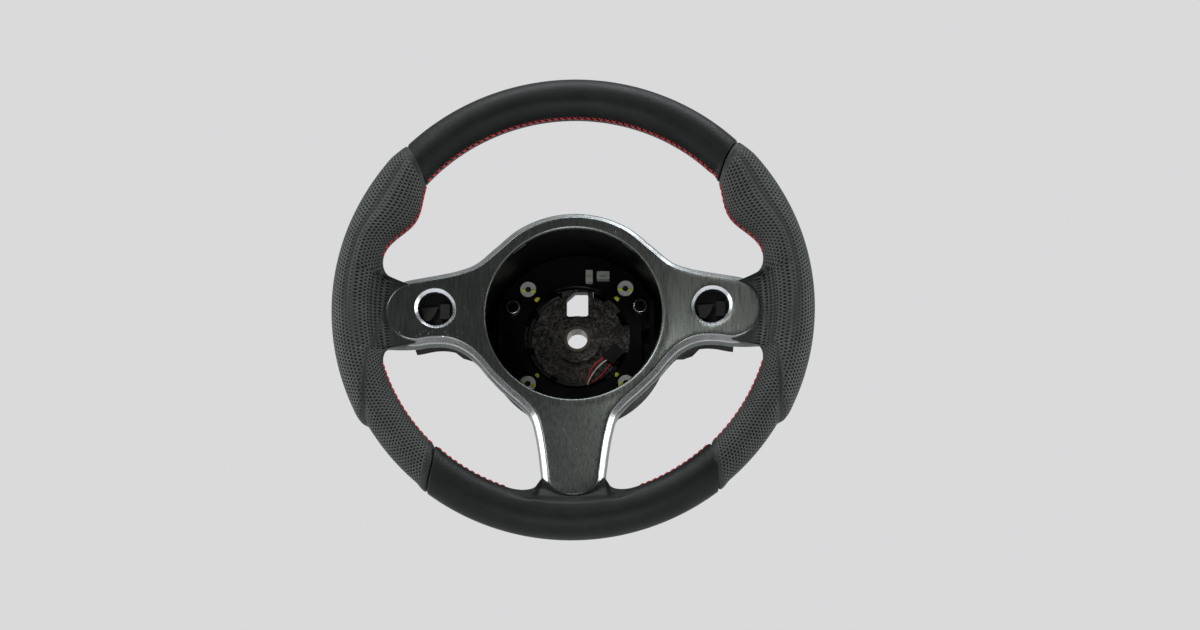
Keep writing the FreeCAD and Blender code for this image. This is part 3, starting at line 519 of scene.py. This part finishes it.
def dress_nodes():
    """Give every CAD node that stays its finish."""
    for name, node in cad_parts.items():
        if name in NODE_FINISHES:
            node.data.materials.clear()
            node.data.materials.append(NODE_FINISHES[name])


dress_nodes()

# ---------------------------------------------------------------- rim leather

UPPER_SEAM = (45.1, 40.9)
LOWER_SEAM = (-52.8, -46.7)
SEAM_GAP = 0.45 * MM
ROLL = 1.7 * MM
SECTION_POWER = 2.12
SEWN_LINE = 171.0
SECTION_STEPS = 132


def signed_power(value, power):
    return math.copysign(abs(value) ** power, value)


def rim_radii(angle):
    """Inner and outer radius of the bare rim at a wheel angle on the right-hand side."""
    inner, outer = RIM_INNER, RIM_OUTER
    if -52.0 < angle < 46.0:
        fade = smooth((46.0 - angle) / 3.0) * smooth((angle + 52.0) / 3.0)
        reach = 15.0 if angle > 30.0 else 14.0
        share = clamp(1.0 - abs(angle - 30.0) / reach)
        inner += fade * (1.0 - 12.7 * math.sin(share * math.pi / 2) ** 2) * MM
        waist = smooth((-26.0 - angle) / 8.0)
        outer += fade * mix(1.0, -1.5, waist) * MM
    return inner, outer


def oval_point(angle, turn, sink=0.0):
    """A point of the rim's oval section as (radius, y). turn 0 is outwards and 90 the driver."""
    inner, outer = rim_radii(angle)
    cosine, sine = math.cos(math.radians(turn)), math.sin(math.radians(turn))
    half_width = (outer - inner) / 2 - sink
    half_depth = RIM_HALF_DEPTH - sink
    radius = (outer + inner) / 2 + half_width * signed_power(cosine, 2 / SECTION_POWER)
    return radius, RIM_Y - half_depth * signed_power(sine, 2 / SECTION_POWER)


def between(value, knots):
    """Straight-line reading of a table of (value, result) pairs."""
    for (low, first), (high, second) in zip(knots, knots[1:]):
        if value <= high:
            return mix(first, second, clamp((value - low) / (high - low)))
    return knots[-1][1]


PALM_EDGE = [(0.0, -30.5), (20.0, -29.5), (58.0, -26.5), (134.0, -8.0), (165.0, 6.0),
             (180.0, 8.0)]


def hollow_centre(angle):
    """Turn at which the grip's shallow channel runs."""
    return mix(75.0, 88.0, smooth((4.0 - angle) / 14.0))


def grip_relief(angle, turn):
    """How far the leather stands off the plain oval on the right-hand grip."""
    if not -52.0 < angle < 46.0:
        return 0.0
    fade = smooth((44.5 - angle) / 5.0) * smooth((angle + 51.0) / 5.0)
    front = smooth((158.0 - turn) / 36.0) if turn < 180 else smooth((turn - 290.0) / 50.0)
    edge = between(turn if turn < 180 else 0.0, PALM_EDGE)
    beyond = angle - edge
    swell = 1.5 * front * smooth(beyond / 1.8 + 0.5)
    crease = 0.55 * front * math.exp(-((beyond + 1.1) / 0.9) ** 2)
    lip = 0.35 * front * math.exp(-((beyond - 2.2) / 1.6) ** 2)
    hollow = smooth((43.5 - angle) / 5.0) * smooth((angle + 15.0) / 9.0)
    width = mix(7.5, 15.0, smooth((6.0 - angle) / 12.0))
    centre = hollow_centre(angle)
    channel = 1.0 * hollow * math.exp(-((turn - centre) / width) ** 2)
    return (fade * (swell - crease + lip) - channel) * MM


def sewn_groove(turn):
    return 0.55 * MM * math.exp(-((turn - SEWN_LINE) / 2.6) ** 2)


def plain_share(angle, turn, seam_distance):
    """1 where the grip's leather has no holes: beside the seams and in the hollows."""
    edge = smooth((5.0 * MM - seam_distance) / (1.6 * MM))
    sewn = smooth((9.0 - abs(turn - SEWN_LINE)) / 4.0)
    width = mix(8.0, 13.0, smooth((6.0 - angle) / 12.0))
    centre = hollow_centre(angle)
    hollow = smooth((angle + 14.0) / 12.0) * math.exp(-((turn - centre) / width) ** 2)
    beyond = angle - between(turn if turn < 180 else 0.0, PALM_EDGE)
    crease = 0.8 * math.exp(-((beyond + 1.2) / 1.6) ** 2) if turn < 180 else 0.0
    return max(edge, sewn, 0.55 * hollow, crease)


class Web:
    """Where the padding runs inwards on to a spoke: its middle angle and sizes."""

    def __init__(self, middle, span, taper, fillet, flare, start):
        self.middle = middle
        self.low, self.high = span
        self.taper = taper
        self.fillet = fillet
        self.flare = flare
        self.start = start
        self.profile = self.make_profile()

    def make_profile(self):
        """The inner half of the section through the web as (place, radius, y) points."""
        start = self.start
        front = [(0, *oval_point(90.0, 90.0)), (10, *oval_point(90.0, 112.0)),
                 (19, *oval_point(90.0, 129.0)), (25, RIM_INNER + 4.2 * MM, -0.1082),
                 (29, RIM_INNER + 2.2 * MM, -0.1030), (33, RIM_INNER + 0.3 * MM, -0.0985),
                 (37, RIM_INNER - 2.0 * MM, -0.0948), (42, RIM_INNER - 6.0 * MM, -0.0920),
                 (50, start + 9 * MM, -0.0902), (58, start + 2.5 * MM, -0.0890),
                 (62, start, -0.0868)]
        back = [(74, start, -0.0612), (79, start + 2.5 * MM, -0.0580),
                (86, start + 12.0 * MM, -0.0612), (96, RIM_INNER, -0.0775),
                (106, RIM_INNER + 10 * MM, -0.0850), (120, *oval_point(90.0, 270.0))]
        return front + back

    def section(self, share):
        """A smooth point on that profile, share 0 at the front and 1 at the back."""
        place = share * 120.0
        knots = self.profile
        for index in range(len(knots) - 1):
            if place <= knots[index + 1][0]:
                break
        k0 = knots[max(index - 1, 0)]
        k1, k2 = knots[index], knots[index + 1]
        k3 = knots[min(index + 2, len(knots) - 1)]
        span = k2[0] - k1[0]
        share = (place - k1[0]) / span
        result = []
        for axis in (1, 2):
            slope1 = (k2[axis] - k0[axis]) / (k2[0] - k0[0]) * span
            slope2 = (k3[axis] - k1[axis]) / (k3[0] - k1[0]) * span
            result.append(hermite(share, k1[axis], k2[axis], slope1, slope2))
        return result

    def strength(self, angle, turn=90.0):
        """1 on the web, falling to 0 round its filleted flanks. It narrows towards the back."""
        offset = math.radians(angle - self.middle)
        if abs(offset) > 0.7:
            return 0.0
        across = 0.140 * math.sin(offset)
        behind = smooth((turn - 150.0) / 80.0)
        inside = min(across - self.low - self.taper[0] * behind,
                     self.high - self.taper[1] * behind - across)
        if inside < 0:
            share = clamp(1 + inside / self.fillet)
            return self.flare * (1 - math.sqrt(max(0.0, 1 - share * share)))
        return self.flare + (1 - self.flare) * smooth(inside / (2.6 * MM)) ** 0.7


RIGHT_WEB = Web(0.0, (-32 * MM, 25 * MM), (5 * MM, 1 * MM), 14 * MM, 0.36, 128.2 * MM)
FOOT_WEB = Web(270.0, (-27 * MM, 27 * MM), (0.0, 0.0), 21 * MM, 0.62, 139.2 * MM)


def leather_point(angle, turn, web, sink=0.0, groove=True):
    """A point of the leather's surface in space."""
    radius, y = oval_point(angle, turn)
    depth = sink
    if groove:
        depth += sewn_groove(turn)
    depth -= grip_relief(angle, turn)
    share = web.strength(angle, turn) if web else 0.0
    normal_r = math.cos(math.radians(turn))
    normal_y = -math.sin(math.radians(turn))
    if share > 0 and 90 <= turn <= 270:
        web_r, web_y = web.section((turn - 90) / 180)
        radius, y = mix(radius, web_r, share), mix(y, web_y, share)
        depth *= 1 - share
    radius -= depth * normal_r
    y -= depth * normal_y
    angle = math.radians(angle)
    return Vector((radius * math.cos(angle), y, radius * math.sin(angle)))


def seam_angle(seam, turn):
    """Angle of a slanted seam: seam holds it on the outer and on the inner edge."""
    outwards = (1 + math.cos(math.radians(turn))) / 2
    bow = 0.9 * math.sin(math.pi * outwards)
    return mix(seam[1], seam[0], outwards) + math.copysign(bow, seam[0])


def tube_angles(start, end, web):
    """Shares from one seam to the other, closer together beside a web."""
    count = int(abs(end - start) / 0.45)
    shares = {index / count for index in range(count + 1)}
    if web:
        for index in range(count):
            low, high = index / count, (index + 1) / count
            strengths = [web.strength(mix(start, end, share)) for share in (low, high)]
            if abs(strengths[0] - strengths[1]) > 0.02:
                shares.update(mix(low, high, part) for part in (0.25, 0.5, 0.75))
    return sorted(shares)


def leather_tube(name, material, first_seam, last_seam, web=None):
    """A closed, leather-covered stretch of rim between two seams, with rolled-in ends."""
    vertices, uvs, plain = [], [], []
    turns = [360.0 * index / SECTION_STEPS for index in range(SECTION_STEPS)]
    middle = [(seam[0] + seam[1]) / 2 for seam in (first_seam, last_seam)]
    shares = tube_angles(*middle, web)
    gap = math.degrees((SEAM_GAP + ROLL) / SECTION_CENTRE)
    direction = 1 if middle[1] > middle[0] else -1
    rolls = [(ROLL, 90), (ROLL, 72), (ROLL, 54), (ROLL, 36), (ROLL, 18)]

    def ring(share, bend=0, end=0):
        for turn in turns:
            low = seam_angle(first_seam, turn) + direction * gap
            high = seam_angle(last_seam, turn) - direction * gap
            angle = mix(low, high, share)
            lean = math.radians(bend)
            angle += direction * end * math.degrees(ROLL / SECTION_CENTRE) * math.sin(lean)
            sink = ROLL * (1 - math.cos(lean))
            point = leather_point(angle, turn, web, sink)
            vertices.append(point)
            uvs.append((math.radians(angle) * SECTION_CENTRE / MM,
                        (turn if turn < 235 else turn - 360) / 360 * 104.0))
            from_seam = min(abs(angle - low), abs(high - angle)) if not bend else 0.0
            covered = plain_share(angle, turn, math.radians(from_seam) * SECTION_CENTRE)
            reach = web.strength(angle, turn) * smooth((turn - 152.0) / 12.0) if web else 0.0
            plain.append(max(covered, smooth(reach * 2.2)))

    for _, bend in rolls:
        ring(0.0, bend, -1)
    for share in shares:
        ring(share)
    for _, bend in reversed(rolls):
        ring(1.0, bend, 1)
    rows = len(vertices) // SECTION_STEPS
    faces = grid_faces(rows, SECTION_STEPS, closed=True)
    for row in (0, rows - 1):
        ring_points = vertices[row * SECTION_STEPS:(row + 1) * SECTION_STEPS]
        centre = sum(ring_points, Vector()) / SECTION_STEPS
        hub = len(vertices)
        vertices.append(centre)
        uvs.append(uvs[row * SECTION_STEPS])
        plain.append(1.0)
        for index in range(SECTION_STEPS):
            after = (index + 1) % SECTION_STEPS
            faces.append((row * SECTION_STEPS + index, row * SECTION_STEPS + after, hub))
    piece = make_object(name, vertices, faces, material, uvs, plain)
    fix_normals(piece)
    return piece


def flipped(seam):
    return (180 - seam[0], 180 - seam[1])


top_leather = leather_tube("rim_top_leather", SMOOTH_LEATHER, UPPER_SEAM, flipped(UPPER_SEAM))
bottom_leather = leather_tube("rim_bottom_leather", SMOOTH_LEATHER,
                              (360 + LOWER_SEAM[0], 360 + LOWER_SEAM[1]),
                              (180 - LOWER_SEAM[0], 180 - LOWER_SEAM[1]), FOOT_WEB)
right_grip = leather_tube("grip_right_leather", PERFORATED_LEATHER, LOWER_SEAM, UPPER_SEAM,
                          RIGHT_WEB)
left_grip = mirrored(right_grip, "grip_left_leather")
wheel_piece(top_leather, "smooth_leather", "leather_top")
wheel_piece(bottom_leather, "smooth_leather", "leather_bottom", "rim_foam")
wheel_piece(right_grip, "perforated_leather", "leather_right")
wheel_piece(left_grip, "perforated_leather", "leather_left")

# ---------------------------------------------------------------- stitching

STITCH_PITCH = 5.2 * MM
STITCH_HALF_WIDTH = 2.1 * MM
THREAD_RADIUS = 0.5 * MM


def stitch_run(name, start, end, web):
    """Crossed stitches over the sewn line between two wheel angles."""
    vertices, faces = [], []
    radius = rim_radii((start + end) / 2)[0]
    count = int(abs(math.radians(end - start)) * radius / STITCH_PITCH)
    half_turn = math.degrees(STITCH_HALF_WIDTH / (SECTION_CENTRE - RIM_INNER))
    for index in range(count):
        low, high = (mix(start, end, (index + part) / count) for part in (0.06, 0.94))
        if web and max(web.strength(low), web.strength(high)) > 0.02:
            continue
        for direction in (1, -1):
            path = []
            for step in range(7):
                share = step / 6
                across = (1 - 2 * share) * half_turn * direction
                lean = mix(low, high, share if direction > 0 else 0.30 + 0.4 * share)
                rise = (0.42 * math.sin(math.pi * share) - 0.25) * MM
                rise += (0.25 if direction > 0 else 0.0) * math.sin(math.pi * share) * MM
                path.append(leather_point(lean, SEWN_LINE + across, None, -rise, False))
            strand = round_tube(path, THREAD_RADIUS, 6, 0.45,
                                lambda point: point.cross(Vector((0, 1, 0))))
            add_part(vertices, faces, strand)
    piece = make_object(name, vertices, faces, THREAD)
    fix_normals(piece)
    return piece


def stitch_all():
    """One thread piece for each stretch of leather."""
    inset = 0.8
    runs = [("stitches_top", UPPER_SEAM[1] + inset, 180 - UPPER_SEAM[1] - inset, None,
             "smooth_leather"),
            ("stitches_bottom", 180 - LOWER_SEAM[1] + inset, 360 + LOWER_SEAM[1] - inset, FOOT_WEB,
             "smooth_leather"),
            ("stitches_right", LOWER_SEAM[1] + inset, UPPER_SEAM[1] - inset, RIGHT_WEB,
             "perforated_leather")]
    for name, start, end, web, slot in runs:
        piece = stitch_run(name, start, end, web)
        wheel_piece(piece, slot)
        if name == "stitches_right":
            wheel_piece(mirrored(piece, "stitches_left"), slot)


stitch_all()

# ---------------------------------------------------------------- spoke bezel

HUB_ARC = (82.5, (90, 74, 58, 42))
TIP_ARC = (26.0, (126.0, -0.8), (66, 40, 10, -20, -50))
UPPER_EDGE = [(78.3, 40.5), (92.0, 34.5), (108.0, 30.2), (122.0, 27.0)]
LOWER_EDGE = [(130.0, -25.8), (116.0, -23.6), (103.0, -23.0), (93.3, -25.2), (83.4, -30.4)]
NECK_EDGE = [(75.4, -37.8), (65.1, -50.2), (52.3, -62.8), (40.0, -74.0), (31.6, -85.0)]
TONGUE_EDGE = [(27.6, -98.5), (24.8, -114.7), (22.8, -131.0), (20.6, -144.0), (12.5, -151.5)]
TONGUE_FOOT = (0.0, -154.5)
OUTLINE_STEPS = 24
SWITCH_CENTRES = ((0.111, 0.003), (-0.111, 0.003))
SWITCH_RADIUS = 13.7 * MM
CHAMFER_RADIUS = 16.4 * MM
HUB_RADIUS = 71.0 * MM
BEZEL_FRONT = -80.0 * MM
BEZEL_FLAT_RADIUS = 75.0 * MM
BEZEL_SLOPE = 0.19
# BEVEL is the slot of the rounded edge's painted highlight material.
FACE_METAL, HOLE_EDGE, BEVEL = 0, 1, 2


def spoke_outline(spacing):
    """The closed spoke outline as evenly spaced (x, z) points."""
    half = [polar(HUB_ARC[0], angle) for angle in HUB_ARC[1]] + UPPER_EDGE
    half += [polar(TIP_ARC[0], angle, TIP_ARC[1]) for angle in TIP_ARC[2]]
    half += LOWER_EDGE + NECK_EDGE + TONGUE_EDGE + [TONGUE_FOOT]
    knots = half + [(-x, z) for x, z in reversed(half[1:-1])]
    knots = [Vector((x * MM, z * MM)) for x, z in knots]
    dense = []
    for index, point in enumerate(knots):
        before, after = knots[index - 1], knots[(index + 1) % len(knots)]
        later = knots[(index + 2) % len(knots)]
        spans = [math.sqrt((b - a).length) for a, b in
                 ((before, point), (point, after), (after, later))]
        slope1 = tangent(before, point, after, spans[0], spans[1]) * spans[1]
        slope2 = tangent(point, after, later, spans[1], spans[2]) * spans[1]
        for step in range(OUTLINE_STEPS):
            dense.append(hermite(step / OUTLINE_STEPS, point, after, slope1, slope2))
    return even_spacing(dense, spacing)


def tangent(before, point, after, span1, span2):
    """Slope of a centripetal curve through three points."""
    return ((point - before) / span1 - (after - before) / (span1 + span2)
            + (after - point) / span2)


def even_spacing(points, spacing):
    """Resample a closed line."""
    lengths = [0.0]
    for index, point in enumerate(points):
        lengths.append(lengths[-1] + (points[(index + 1) % len(points)] - point).length)
    count = int(lengths[-1] / spacing)
    result, place = [], 0
    for index in range(count):
        target = lengths[-1] * index / count
        while lengths[place + 1] < target:
            place += 1
        share = (target - lengths[place]) / (lengths[place + 1] - lengths[place])
        result.append(points[place].lerp(points[(place + 1) % len(points)], share))
    return result


def grown(points, distance):
    """Move a clockwise closed line outwards."""
    result = []
    for index, point in enumerate(points):
        run = points[(index + 1) % len(points)] - points[index - 1]
        result.append(point + Vector((-run.y, run.x)).normalized() * distance)
    return result


def bezel_y(x, z):
    """Depth of the bezel's face: flat round the hub, then rising towards the driver."""
    beyond = math.hypot(x, z) - BEZEL_FLAT_RADIUS
    blend_width = 5 * MM
    if beyond > blend_width:
        rise = beyond
    elif beyond > -blend_width:
        rise = (beyond + blend_width) ** 2 / (4 * blend_width)
    else:
        rise = 0.0
    return BEZEL_FRONT - BEZEL_SLOPE * rise


def circle(radius, centre, count):
    return [Vector((centre[0] + radius * math.cos(2 * math.pi * index / count),
                    centre[1] + radius * math.sin(2 * math.pi * index / count)))
            for index in range(count)]


def strip(work, lines, finish=FACE_METAL, bevel=()):
    """Quads between successive closed lines of space points. bevel lists the rows given the bevel's
    painted highlight.
    """
    rows = [[work.verts.new(point) for point in line] for line in lines]
    for place, (first, second) in enumerate(zip(rows, rows[1:])):
        for index in range(len(first)):
            after = (index + 1) % len(first)
            face = work.faces.new((first[index], first[after], second[after], second[index]))
            face.material_index = BEVEL if place in bevel else finish


def lifted(line, drop):
    """Plan points brought to the bezel's face, set back by a drop."""
    return [Vector((point.x, bezel_y(point.x, point.y) + drop, point.y)) for point in line]


def face_skin(work, outline, holes, spacing):
    """Triangulate the face between its outline and the holes."""
    loops = [outline] + holes
    points, edges = [], []
    for loop in loops:
        base = len(points)
        points += loop
        edges += [(base + index, base + (index + 1) % len(loop)) for index in range(len(loop))]
    boundary = list(points)
    buckets = {}
    for point in boundary:
        buckets.setdefault((round(point.x / spacing), round(point.y / spacing)), []).append(point)

    def near_boundary(x, z):
        cell = (round(x / spacing), round(z / spacing))
        for dx in (-1, 0, 1):
            for dz in (-1, 0, 1):
                for point in buckets.get((cell[0] + dx, cell[1] + dz), []):
                    if math.hypot(point.x - x, point.y - z) < 0.7 * spacing:
                        return True
        return False

    steps = int(0.16 / spacing)
    for row in range(-steps, steps + 1):
        for column in range(-steps, steps + 1):
            x = (column + 0.5 * (row % 2)) * spacing
            z = row * spacing * 0.866
            if inside(x, z, outline) and not near_boundary(x, z):
                if not any(inside(x, z, hole) for hole in holes):
                    points.append(Vector((x, z)))
    result = delaunay_2d_cdt(points, edges, [], 0, 1e-7)
    vertices = [work.verts.new((point.x, bezel_y(point.x, point.y), point.y))
                for point in result[0]]
    for triangle in result[2]:
        middle = sum((result[0][corner] for corner in triangle), Vector((0, 0))) / 3
        if inside(middle.x, middle.y, outline):
            if not any(inside(middle.x, middle.y, hole) for hole in holes):
                work.faces.new([vertices[corner] for corner in triangle])
    for vertex in vertices:
        if not vertex.link_faces:
            work.verts.remove(vertex)


def inside(x, z, loop):
    """Whether a point lies inside a closed line."""
    within = False
    for index, point in enumerate(loop):
        before = loop[index - 1]
        if (point.y > z) != (before.y > z):
            if x < (before.x - point.x) * (z - point.y) / (before.y - point.y) + point.x:
                within = not within
    return within


SKIRT_STATIONS = [(-3.8, 0.0), (-3.2, 0.06), (-2.7, 0.20), (-2.3, 0.45), (-1.95, 0.80),
                  (-1.3, 1.55), (-0.5, 2.45), (0.4, 3.4), (1.2, 4.3), (1.75, 5.1), (2.15, 6.0),
                  (2.6, 7.8), (3.1, 10.2), (3.45, 12.2), (3.35, 12.9), (2.8, 13.2),
                  (1.9, 12.8), (1.2, 11.0), (0.4, 7.0), (-0.4, 4.6)]
HUB_STATIONS = [(2.4, 0.0), (1.6, 0.12), (0.9, 0.42), (0.38, 0.95), (0.08, 1.6), (0.0, 2.4),
                (0.2, 3.2), (1.2, 3.3)]


def make_bezel():
    """The formed metal face: rounded outer edge and skirt, hub lip and chamfered holes."""
    outline = spoke_outline(1.25 * MM)
    work = bmesh.new()
    # Rows 3 to 9, the rounded shoulder, carry the painted highlight.
    strip(work, [lifted(grown(outline, grow * MM), drop * MM) for grow, drop in SKIRT_STATIONS],
          bevel=range(3, 10))
    centre = (0.0, 0.0)
    strip(work, [lifted(circle(HUB_RADIUS + grow * MM, centre, 300), drop * MM)
                 for grow, drop in HUB_STATIONS])
    holes = [circle(HUB_RADIUS + HUB_STATIONS[0][0] * MM, centre, 300)]
    for place in SWITCH_CENTRES:
        rim = [(CHAMFER_RADIUS + 0.5 * MM, 0.0), (CHAMFER_RADIUS + 0.2 * MM, 0.05 * MM),
               (CHAMFER_RADIUS, 0.2 * MM)]
        strip(work, [lifted(circle(radius, place, 120), drop) for radius, drop in rim])
        chamfer = [rim[-1], (SWITCH_RADIUS + 0.45 * MM, 1.75 * MM),
                   (SWITCH_RADIUS + 0.1 * MM, 2.1 * MM), (SWITCH_RADIUS, 2.6 * MM)]
        strip(work, [lifted(circle(radius, place, 120), drop) for radius, drop in chamfer],
              HOLE_EDGE)
        collar = [lifted(circle(SWITCH_RADIUS, place, 120), 2.6 * MM)]
        for radius, y in ((SWITCH_RADIUS, -0.0785), (SWITCH_RADIUS + 1.6 * MM, -0.0780)):
            collar.append([Vector((point.x, y, point.y)) for point in circle(radius, place, 120)])
        strip(work, collar)
        holes.append(circle(CHAMFER_RADIUS + 0.5 * MM, place, 120))
    face_skin(work, grown(outline, SKIRT_STATIONS[0][0] * MM), holes, 2.2 * MM)
    bmesh.ops.remove_doubles(work, verts=work.verts, dist=0.01 * MM)
    bmesh.ops.recalc_face_normals(work, faces=work.faces)
    mesh = bpy.data.meshes.new("bezel_face")
    work.to_mesh(mesh)
    work.free()
    mesh.shade_smooth()
    mesh.materials.append(GUNMETAL)
    mesh.materials.append(BRIGHT_EDGE)
    mesh.materials.append(BEVEL_PAINTED_HIGHLIGHT)
    piece = add_object("bezel_face", mesh)
    front = min(mesh.polygons, key=lambda face: abs(face.center.x) + abs(face.center.z + 0.1))
    if front.normal.y > 0:
        mesh.flip_normals()
    return wheel_piece(piece, "gunmetal_bezel", "spoke_bezel")


make_bezel()

# ---------------------------------------------------------------- springs and paint marks


SCREW_HEAD_RADIUS = 6.6 * MM
FRAME_FACE = -5.48 * MM


def coil_mesh(x, z, start_y, end_y, radius, wire, turns):
    """A round-wire spring whose end turns lie close."""
    points = []
    steps = int(turns * 36)
    for index in range(steps + 1):
        share = index / steps
        turn = 2 * math.pi * turns * share
        rise = smooth(share) * 0.45 + share * 0.55
        y = mix(start_y + wire, end_y - wire, rise)
        points.append(Vector((x + radius * math.cos(turn), y, z + radius * math.sin(turn))))
    return round_tube(points, wire, 10, 0.5, lambda point: Vector((0, 1, 0)))


def make_horn_springs():
    """The four springs under the floating frame."""
    low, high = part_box("horn_springs")
    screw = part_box("shoulder_screws")
    inset = (SCREW_HEAD_RADIUS, -SCREW_HEAD_RADIUS)
    places = [(screw[side].x + inset[side], screw[up].z + inset[up])
              for side in (0, 1) for up in (0, 1)]
    vertices, faces = [], []
    wire = 0.55 * MM
    radius = high.x - places[2][0] - wire
    for x, z in places:
        add_part(vertices, faces, coil_mesh(x, z, low.y, high.y, radius, wire, 3.5))
    piece = make_object("horn_spring_coils", vertices, faces, NODE_FINISHES["horn_springs"])
    fix_normals(piece)
    wheel_piece(piece, "spring_steel", "horn_springs")
    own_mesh(piece)


make_horn_springs()


def paint_blob(place, size, stretch, turn, seed):
    """A small domed dab of paint facing the driver, with an uneven edge."""
    rings, sides = 4, 22
    vertices = []
    for ring in range(rings + 1):
        share = ring / rings
        for corner in range(sides):
            angle = 2 * math.pi * corner / sides
            wave = 1 + 0.14 * math.sin(3 * angle + seed) + 0.08 * math.sin(7 * angle + 2 * seed)
            radius = size * share * wave
            x, z = radius * math.cos(angle) * stretch, radius * math.sin(angle)
            lean = math.radians(turn)
            lift = 0.28 * MM * math.sqrt(max(0.0, 1 - share ** 2))
            vertices.append(Vector((place[0] + x * math.cos(lean) - z * math.sin(lean),
                                    place[1] - lift,
                                    place[2] + x * math.sin(lean) + z * math.cos(lean))))
    faces = grid_faces(rings + 1, sides, closed=True)
    base = rings * sides
    faces.append(tuple(range(base, base + sides)))
    return vertices, faces


def make_paint_marks():
    """Two dabs on each screw head and one on the floating frame beside it."""
    low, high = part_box("shoulder_screws")
    front = low.y + 0.02 * MM
    marks = {"wheel": ([], []), "horn_float": ([], [])}
    for index, (side, up) in enumerate(((-1, 1), (1, 1), (-1, -1), (1, -1))):
        x = (high.x - SCREW_HEAD_RADIUS) * side
        z = (high.z - SCREW_HEAD_RADIUS) * up
        blobs = [("wheel", (x - 4.3 * MM, front, z - 0.9 * MM), 2.1 * MM, 0.85, 20 * side),
                 ("wheel", (x + 4.2 * MM, front, z - 1.6 * MM), 2.0 * MM, 0.9, 30 * side),
                 ("horn_float", (x - 7.2 * MM * side, FRAME_FACE, z - 7.6 * MM * up), 1.9 * MM, 1.3,
                  -40 * side)]
        for seed, (body, place, size, stretch, turn) in enumerate(blobs):
            add_part(*marks[body], paint_blob(place, size, stretch, turn, index * 1.7 + seed))
    paint = paint_mark()
    for body, name in (("wheel", "paint_on_screws"), ("horn_float", "paint_on_frame")):
        piece = make_object(name, *marks[body], paint)
        fix_normals(piece)
        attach(piece, body)


make_paint_marks()

# ---------------------------------------------------------------- stage, light and camera


FLOOR_LEVEL = -1.0
FLOOR_FRONT = -1.3
FLOOR_SIZE = 6.0
CAMERA_AZIMUTH = 2.2
CAMERA_ELEVATION = -16.0
CAMERA_DISTANCE = 2.2


def make_floor():
    """A large pale floor, well below the wheel. It stops short of the dark front of the studio."""
    vertices = [(x, y, FLOOR_LEVEL) for x, y in
                ((-FLOOR_SIZE, FLOOR_FRONT), (FLOOR_SIZE, FLOOR_FRONT), (FLOOR_SIZE, FLOOR_SIZE),
                 (-FLOOR_SIZE, FLOOR_SIZE))]
    nodes = Nodes("floor")
    speck = nodes.noise(30.0, 4.0)
    colour = nodes.blend(nodes.ramp(speck, 0.3, 0.7), (0.66, 0.66, 0.67), (0.72, 0.72, 0.73))
    floor = make_object("floor", vertices, [(0, 1, 2, 3)], nodes.finish(colour, 0.8))


def make_world():
    """Soft studio surround: pale to look at, bright at the sides and below, dim in front."""
    world = bpy.data.worlds.new("studio")
    bpy.context.scene.world = world
    world.use_nodes = True
    tree = world.node_tree
    tree.nodes.clear()
    output = add_node(tree, "ShaderNodeOutputWorld")
    shown = add_node(tree, "ShaderNodeBackground", Color=(0.70, 0.70, 0.71, 1), Strength=1.0)
    light = add_node(tree, "ShaderNodeBackground", Color=(0.98, 1.0, 1.0, 1))
    split = add_node(tree, "ShaderNodeSeparateXYZ")
    coordinates = add_node(tree, "ShaderNodeTexCoord")
    height = add_node(tree, "ShaderNodeMapRange", From_Min=-0.25, From_Max=0.40, To_Min=1.5,
                      To_Max=0.32)
    front = add_node(tree, "ShaderNodeMapRange", From_Min=-0.80, From_Max=-0.35, To_Min=0.05,
                     To_Max=1.0)
    strength = add_node(tree, "ShaderNodeMath", operation="MULTIPLY")
    switch = add_node(tree, "ShaderNodeMixShader")
    path = add_node(tree, "ShaderNodeLightPath")
    for source, target in ((coordinates.outputs["Generated"], split.inputs[0]),
                           (split.outputs["Z"], height.inputs["Value"]),
                           (split.outputs["Y"], front.inputs["Value"]),
                           (height.outputs[0], strength.inputs[0]),
                           (front.outputs[0], strength.inputs[1]),
                           (strength.outputs[0], light.inputs["Strength"]),
                           (path.outputs["Is Camera Ray"], switch.inputs[0]),
                           (light.outputs[0], switch.inputs[1]),
                           (shown.outputs[0], switch.inputs[2]),
                           (switch.outputs[0], output.inputs["Surface"])):
        tree.links.new(source, target)


def area_light(name, place, target, size, power, colour=(1, 1, 1)):
    light = bpy.data.lights.new(name, "AREA")
    light.shape = "RECTANGLE"
    light.size, light.size_y = size
    light.energy = power
    light.color = colour
    lamp = add_object(name, light)
    lamp.location = place
    lamp.rotation_euler = (Vector(target) - Vector(place)).to_track_quat("-Z", "Y").to_euler()


def make_camera():
    """The photograph's viewing angle, from a little below the wheel's axis."""
    target = Vector((0, RIM_Y, 0))
    azimuth, elevation = math.radians(CAMERA_AZIMUTH), math.radians(CAMERA_ELEVATION)
    back = Vector((math.sin(azimuth) * math.cos(elevation),
                   -math.cos(azimuth) * math.cos(elevation), math.sin(elevation)))
    camera = bpy.data.cameras.new("camera")
    camera.lens = 82.9
    camera.sensor_width = 36.0
    camera.shift_x = 0.0229
    camera.shift_y = -0.0083
    holder = add_object("camera", camera)
    holder.location = target + back * CAMERA_DISTANCE
    aim = (-back).to_track_quat("-Z", "Y")
    holder.rotation_euler = aim.to_euler()
    bpy.context.scene.camera = holder


bpy.context.scene.view_settings.view_transform = "Standard"
make_floor()
make_world()
area_light("key_top", (0.1, -0.45, 2.0), (0, -0.1, 0), (2.4, 1.0), 40, (0.92, 0.96, 1.0))
area_light("front_left", (-1.3, -2.4, 1.7), (0, -0.1, 0), (0.9, 0.9), 22)
area_light("side_left", (-2.0, -0.1, 0.35), (0, -0.1, 0), (0.9, 1.4), 20)
area_light("side_right", (2.0, -0.1, 0.35), (0, -0.1, 0), (0.9, 1.4), 20)
area_light("low_front", (0.0, -2.0, -1.1), (0, -0.1, 0), (0.8, 0.5), 10)
make_camera()
